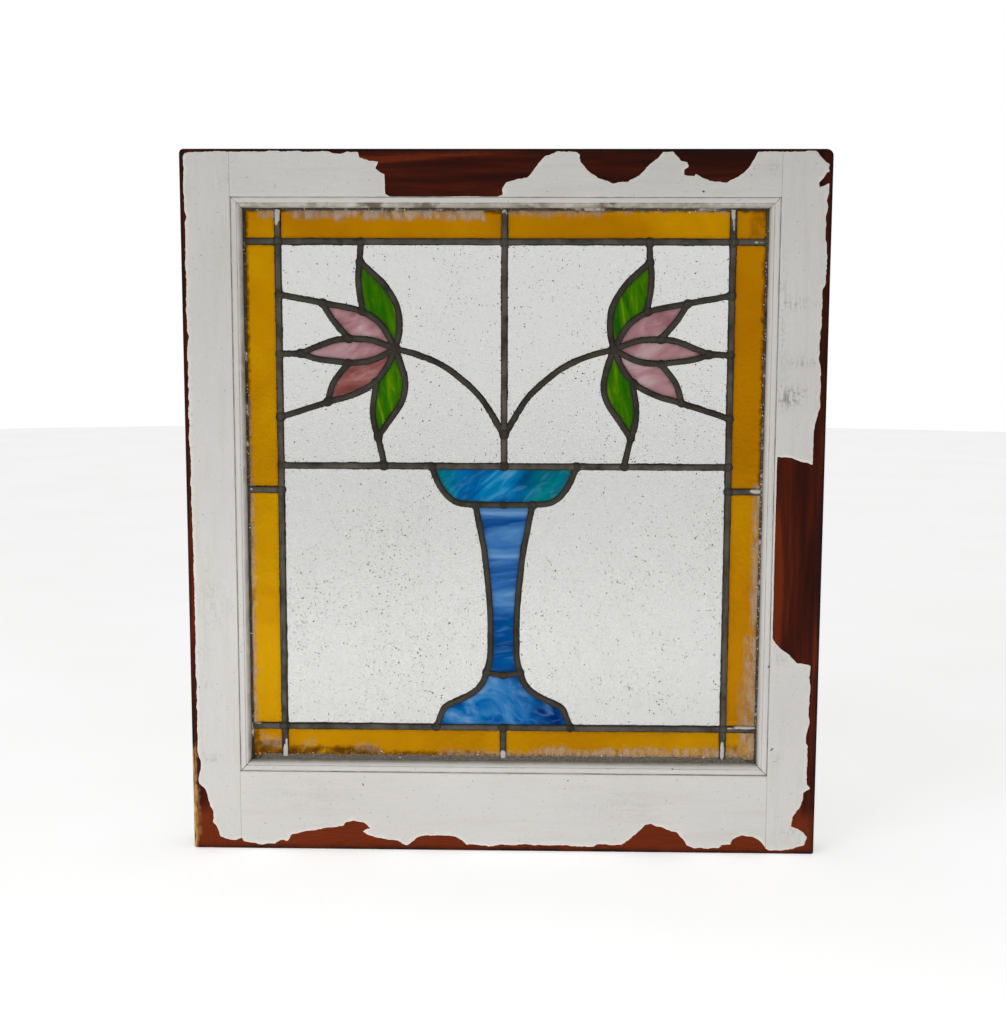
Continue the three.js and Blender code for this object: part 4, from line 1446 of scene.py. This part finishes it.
def add_board(shells, member, seed):
    """The member's board: a front of paint film and bare wood, bare edges and a painted back."""
    outline = member.outline()
    near = (RAGGED_EDGE[:, 0] > member.left - 2) & (RAGGED_EDGE[:, 0] < member.right + 2)
    near &= (RAGGED_EDGE[:, 1] > member.bottom - 2) & (RAGGED_EDGE[:, 1] < member.top + 2)
    picked = np.flatnonzero(near)
    shore = RAGGED_EDGE[picked]
    across = normals_of(RAGGED_EDGE)[picked]
    probe = inside(shore + 0.05 * across, RAGGED_EDGE)
    inner = shore + across * np.where(probe, CHIP_BAND, -CHIP_BAND)[:, None]
    place = {int(index): k for k, index in enumerate(picked)}
    total = len(RAGGED_EDGE)
    chains = [(k, place[(index + 1) % total]) for index, k in place.items() if (index + 1) % total in place]
    extra = np.vstack([shore, inner])
    flat, faces = filled(member, outline, extra, chains, 3.4, seed)
    painted = inside(flat[np.array(faces)].mean(axis=1), RAGGED_EDGE)
    from_shore = nearest(flat, shore) if len(shore) else np.full(len(flat), 99.0)
    on_paint = np.zeros(len(flat), bool)
    on_paint[np.unique(np.array(faces)[painted])] = True
    film = np.where(on_paint, np.clip(from_shore / CHIP_BAND, 0, 1), 0.0) * FILM
    x, z = flat[:, 0], flat[:, 1]
    uneven = 0.07 * lattice_noise(x, z, 14, seed + 1) + 0.03 * lattice_noise(x, z, 5, seed + 2)
    back_off = rounding(member, flat)
    front = FRONT + FILM + FACE_ROOM - film + uneven * 0.8 + back_off
    loop = boundary_loop(faces)
    rear_outline = flat[loop]
    rear, rear_faces = filled(member, rear_outline, np.zeros((0, 2)), [], 9.0, seed + 3)
    rear_loop = matched(rear, rear_outline)
    rear_uneven = 0.06 * lattice_noise(rear[:, 0], rear[:, 1], 20, seed + 4)
    rear_depth = BACK - FACE_ROOM - rounding(member, rear) + rear_uneven

    points = [np.stack([x, front, z], axis=1)]
    skin = [tuple(face) for face in faces]
    kinds = [1 if is_painted else 0 for is_painted in painted]
    marks = {
        "chip": np.where(on_paint, np.clip(1.25 - from_shore / 0.55, 0, 1), 0.0),
        "smudge": smudge_at(x, z),
        "grime": np.where(on_paint, 0, edge_darkening(x, z)),
        "raw": raw_wood(x, z),
        "wear": np.zeros(len(x)),
        "warm": np.clip((44 - z) / 12, 0, 1),
    }
    previous = np.array(loop)
    count = len(flat)
    mouth = (TENON_DEPTHS[0] - MORTISE_CLEARANCE, TENON_DEPTHS[1] + MORTISE_CLEARANCE)
    levels = [-WALL_LEVEL, mouth[0], mouth[0] + 0.03, mouth[1] - 0.03, mouth[1], WALL_LEVEL]
    ring_flat = flat[loop]
    for level in levels:
        pocket = in_mortise(member, ring_flat) & (mouth[0] < level) & (level < mouth[1])
        ring_x = ring_flat[:, 0] - np.sign(ring_flat[:, 0]) * MORTISE_MOUTH * pocket
        points.append(np.stack([ring_x, np.full(len(loop), level), ring_flat[:, 1]], axis=1))
        current = count + np.arange(len(loop))
        skin += ring_faces(previous, current)
        kinds += wall_kinds(ring_flat)
        count += len(loop)
        previous = current
    points.append(np.stack([rear[:, 0], rear_depth, rear[:, 1]], axis=1))
    rear_ring = count + np.array(rear_loop)
    skin += ring_faces(previous, rear_ring)
    kinds += wall_kinds(ring_flat)
    skin += [tuple(count + i for i in face[::-1]) for face in rear_faces]
    kinds += [1] * len(rear_faces)

    everything = np.vstack(points)
    beyond = wall_marks(everything[len(x):])
    for name, values in marks.items():
        rest = beyond.get(name, np.zeros(len(everything) - len(x)))
        marks[name] = np.concatenate([values, rest])
    shells.add(everything, skin, kinds, **marks)


def in_mortise(member, ring_flat):
    """Which points of a stile's outline lie at the mouth of a mortise in its outer edge."""
    found = np.zeros(len(ring_flat), bool)
    if member.is_stile:
        outer = abs(ring_flat[:, 0]) > HALF_WIDTH - 0.5
        for low, high in TENON_HEIGHTS:
            found |= outer & (ring_flat[:, 1] > low - MORTISE_CLEARANCE + 0.01) \
                & (ring_flat[:, 1] < high + MORTISE_CLEARANCE - 0.01)
    return found


def ring_faces(first, second):
    """Quads between two rings of the same length."""
    corners = (first, second, np.roll(second, -1), np.roll(first, -1))
    return list(zip(*(corner.tolist() for corner in corners)))


def wall_kinds(ring_flat):
    """Bare wood (0) on the sash's outer edges, paint (1) on its inner ones."""
    middle = (ring_flat + np.roll(ring_flat, -1, axis=0)) / 2
    outer = (abs(middle[:, 0]) > HALF_WIDTH - 7) | (middle[:, 1] < 1) | (middle[:, 1] > HEIGHT - 1)
    return [0 if is_outer else 1 for is_outer in outer]


def matched(points, targets):
    """The index of the point at each target."""
    tree = kdtree.KDTree(len(points))
    for index, (x, z) in enumerate(points):
        tree.insert((x, z, 0), index)
    tree.balance()
    return [tree.find((x, z, 0))[1] for x, z in targets]


FINE_LINE = 5.6


def moulding_section():
    """A quirk, a flat and a bead with a fine line between, as (distance inward, depth, darkening by grime
    and painted shade).
    """
    places = [0, 0.2, 0.45, 0.8, 1.4, 2.2, 3.0, 3.8, 4.6, 5.1, 5.35, 5.6, 5.85, 6.1, 6.6, 7.2, 7.7]
    places += [8.2, 8.6, 8.88]
    section = [(-1.0, FRONT + QUIRK + 0.1, 0.0)]
    for u in places:
        bend = max(0.0, u - (MOULDING_WIDTH - OVOLO))
        drop = OVOLO - math.sqrt(OVOLO**2 - bend**2)
        line = math.exp(-(((u - FINE_LINE) / 0.22) ** 2))
        quirk = math.exp(-(((u - 0.3) / 0.35) ** 2))
        # Darker in the quirk and along the fine line: grime, and painted shade in the grooves.
        section.append((u, FRONT + QUIRK + drop + 0.5 * line + 0.7 * quirk, 0.55 * line + 0.75 * quirk))
    floor = FRONT + MOULDING_DEPTH
    # Darker down the inner face towards its back corner at the panel: painted shade in the recess.
    section += [
        (MOULDING_WIDTH, FRONT + QUIRK + OVOLO + 0.4, 0.1), (MOULDING_WIDTH, floor - 2.4, 0.25),
        (MOULDING_WIDTH, floor - 1.0, 0.6), (MOULDING_WIDTH, floor, 0.9), (-1.0, floor, 0.0),
    ]
    return section


MITRE_GAP = {"bottom": 0.55, "left": 0.12, "top": 0.2, "right": 0.12}
# How far in each side's moulding darkens, and how much: grime, and painted shade, most on the top, which
# faces down, and on the left, which faces away from the key light.
MOULDING_GRIME_AND_SHADE = {"bottom": (7.6, 0.3), "left": (6.6, 0.4), "top": (4.4, 0.6), "right": (8.0, 0.2)}


def add_moulding(shells, side, seed):
    """The moulding of one member."""
    section = moulding_section()
    profile = [(u, y) for u, y, _ in section]
    points, faces = mitred_bar(REBATE, side, profile, 5.0, MITRE_GAP[side], 0.12, seed)
    start, strength = MOULDING_GRIME_AND_SHADE[side]
    # This darkening is grime together with painted shade in the grooves, the recess and the sides turned
    # from the light.
    dirt = [max(share, strength * min(1.0, max(0.0, u - start))) for u, _, share in section]
    dirt = np.tile(dirt, len(points) // len(section))
    dirt = np.clip(dirt * (1 + 0.5 * lattice_noise(points[:, 0], points[:, 2], 24, seed + 5)), 0, 1)
    shells.add(points, faces, 1, grime=dirt, chip=0.0, smudge=0.0, wear=0.0, raw=0.0, warm=0.0)


def add_tenon(shells, rail_heights, sign):
    """The end of a rail's tenon, which shows in the stile's outer edge."""
    low, high = rail_heights
    inner, outer = HALF_WIDTH - 6, HALF_WIDTH - 0.3
    near, far = TENON_DEPTHS
    section = [(near, low), (far, low), (far, high), (near, high)]
    centre = np.mean(section, axis=0)
    rings = []
    for x, shrink in ((inner, 0), (outer - 0.25, 0), (outer, 0.25)):
        for y, z in section:
            y, z = np.array((y, z)) - np.sign((y - centre[0], z - centre[1])) * shrink
            rings.append((sign * x, y, z))
    shells.add(rings, tube_faces(3, 4), 0, grime=0.3, chip=0.0, smudge=0.0, wear=0.0, raw=0.0, warm=0.0)


def build_sash():
    """The four members, each with its board, its moulding and, on a rail, its tenon ends."""
    inner = REBATE["right"]
    members = [
        Member("left_stile", "z", -HALF_WIDTH, -inner, 0.0, HEIGHT),
        Member("right_stile", "z", inner, HALF_WIDTH, 0.0, HEIGHT),
        Member("top_rail", "x", -inner + JOINT_GAP, inner - JOINT_GAP, REBATE["top"], HEIGHT),
        Member("bottom_rail", "x", -inner + JOINT_GAP, inner - JOINT_GAP, 0.0, REBATE["bottom"]),
    ]
    for index, member in enumerate(members):
        shells = Shells()
        add_board(shells, member, 2000 + 20 * index)
        add_moulding(shells, member.name.split("_")[0], 2100 + 10 * index)
        if not member.is_stile:
            heights = TENON_HEIGHTS[1 if member.name == "top_rail" else 0]
            for sign in (-1, 1):
                add_tenon(shells, heights, sign)
        along = member.along
        shells.piece("painted_" + member.name, "painted_wood", [WOOD[along], PAINT[along]],
                     ["sash_" + member.name], sharp=48)


def build_putty():
    """The putty fillets behind the panel."""
    foot = PANEL_BACK + 0.25
    section = [(0.2, foot), (7.0, foot), (6.8, foot + 1.2), (5.0, foot + 4.2), (3.0, foot + 7.4)]
    section += [(1.2, foot + 10.4), (0.2, foot + 10.9)]
    for index, side in enumerate(("bottom", "left", "top", "right")):
        shells = Shells()
        points, faces = mitred_bar(REBATE, side, section, 4.0, 0.15, 0.45, 2300 + 10 * index)
        shells.add(points, faces)
        shells.piece("putty_fillet_" + side, "glazing_putty", [PUTTY], ["glazing_putty_" + side], sharp=50)


build_lead()
build_cement()
build_glass()
build_flecks()
build_debris()
build_ledge_dirt()
build_sash()
build_putty()
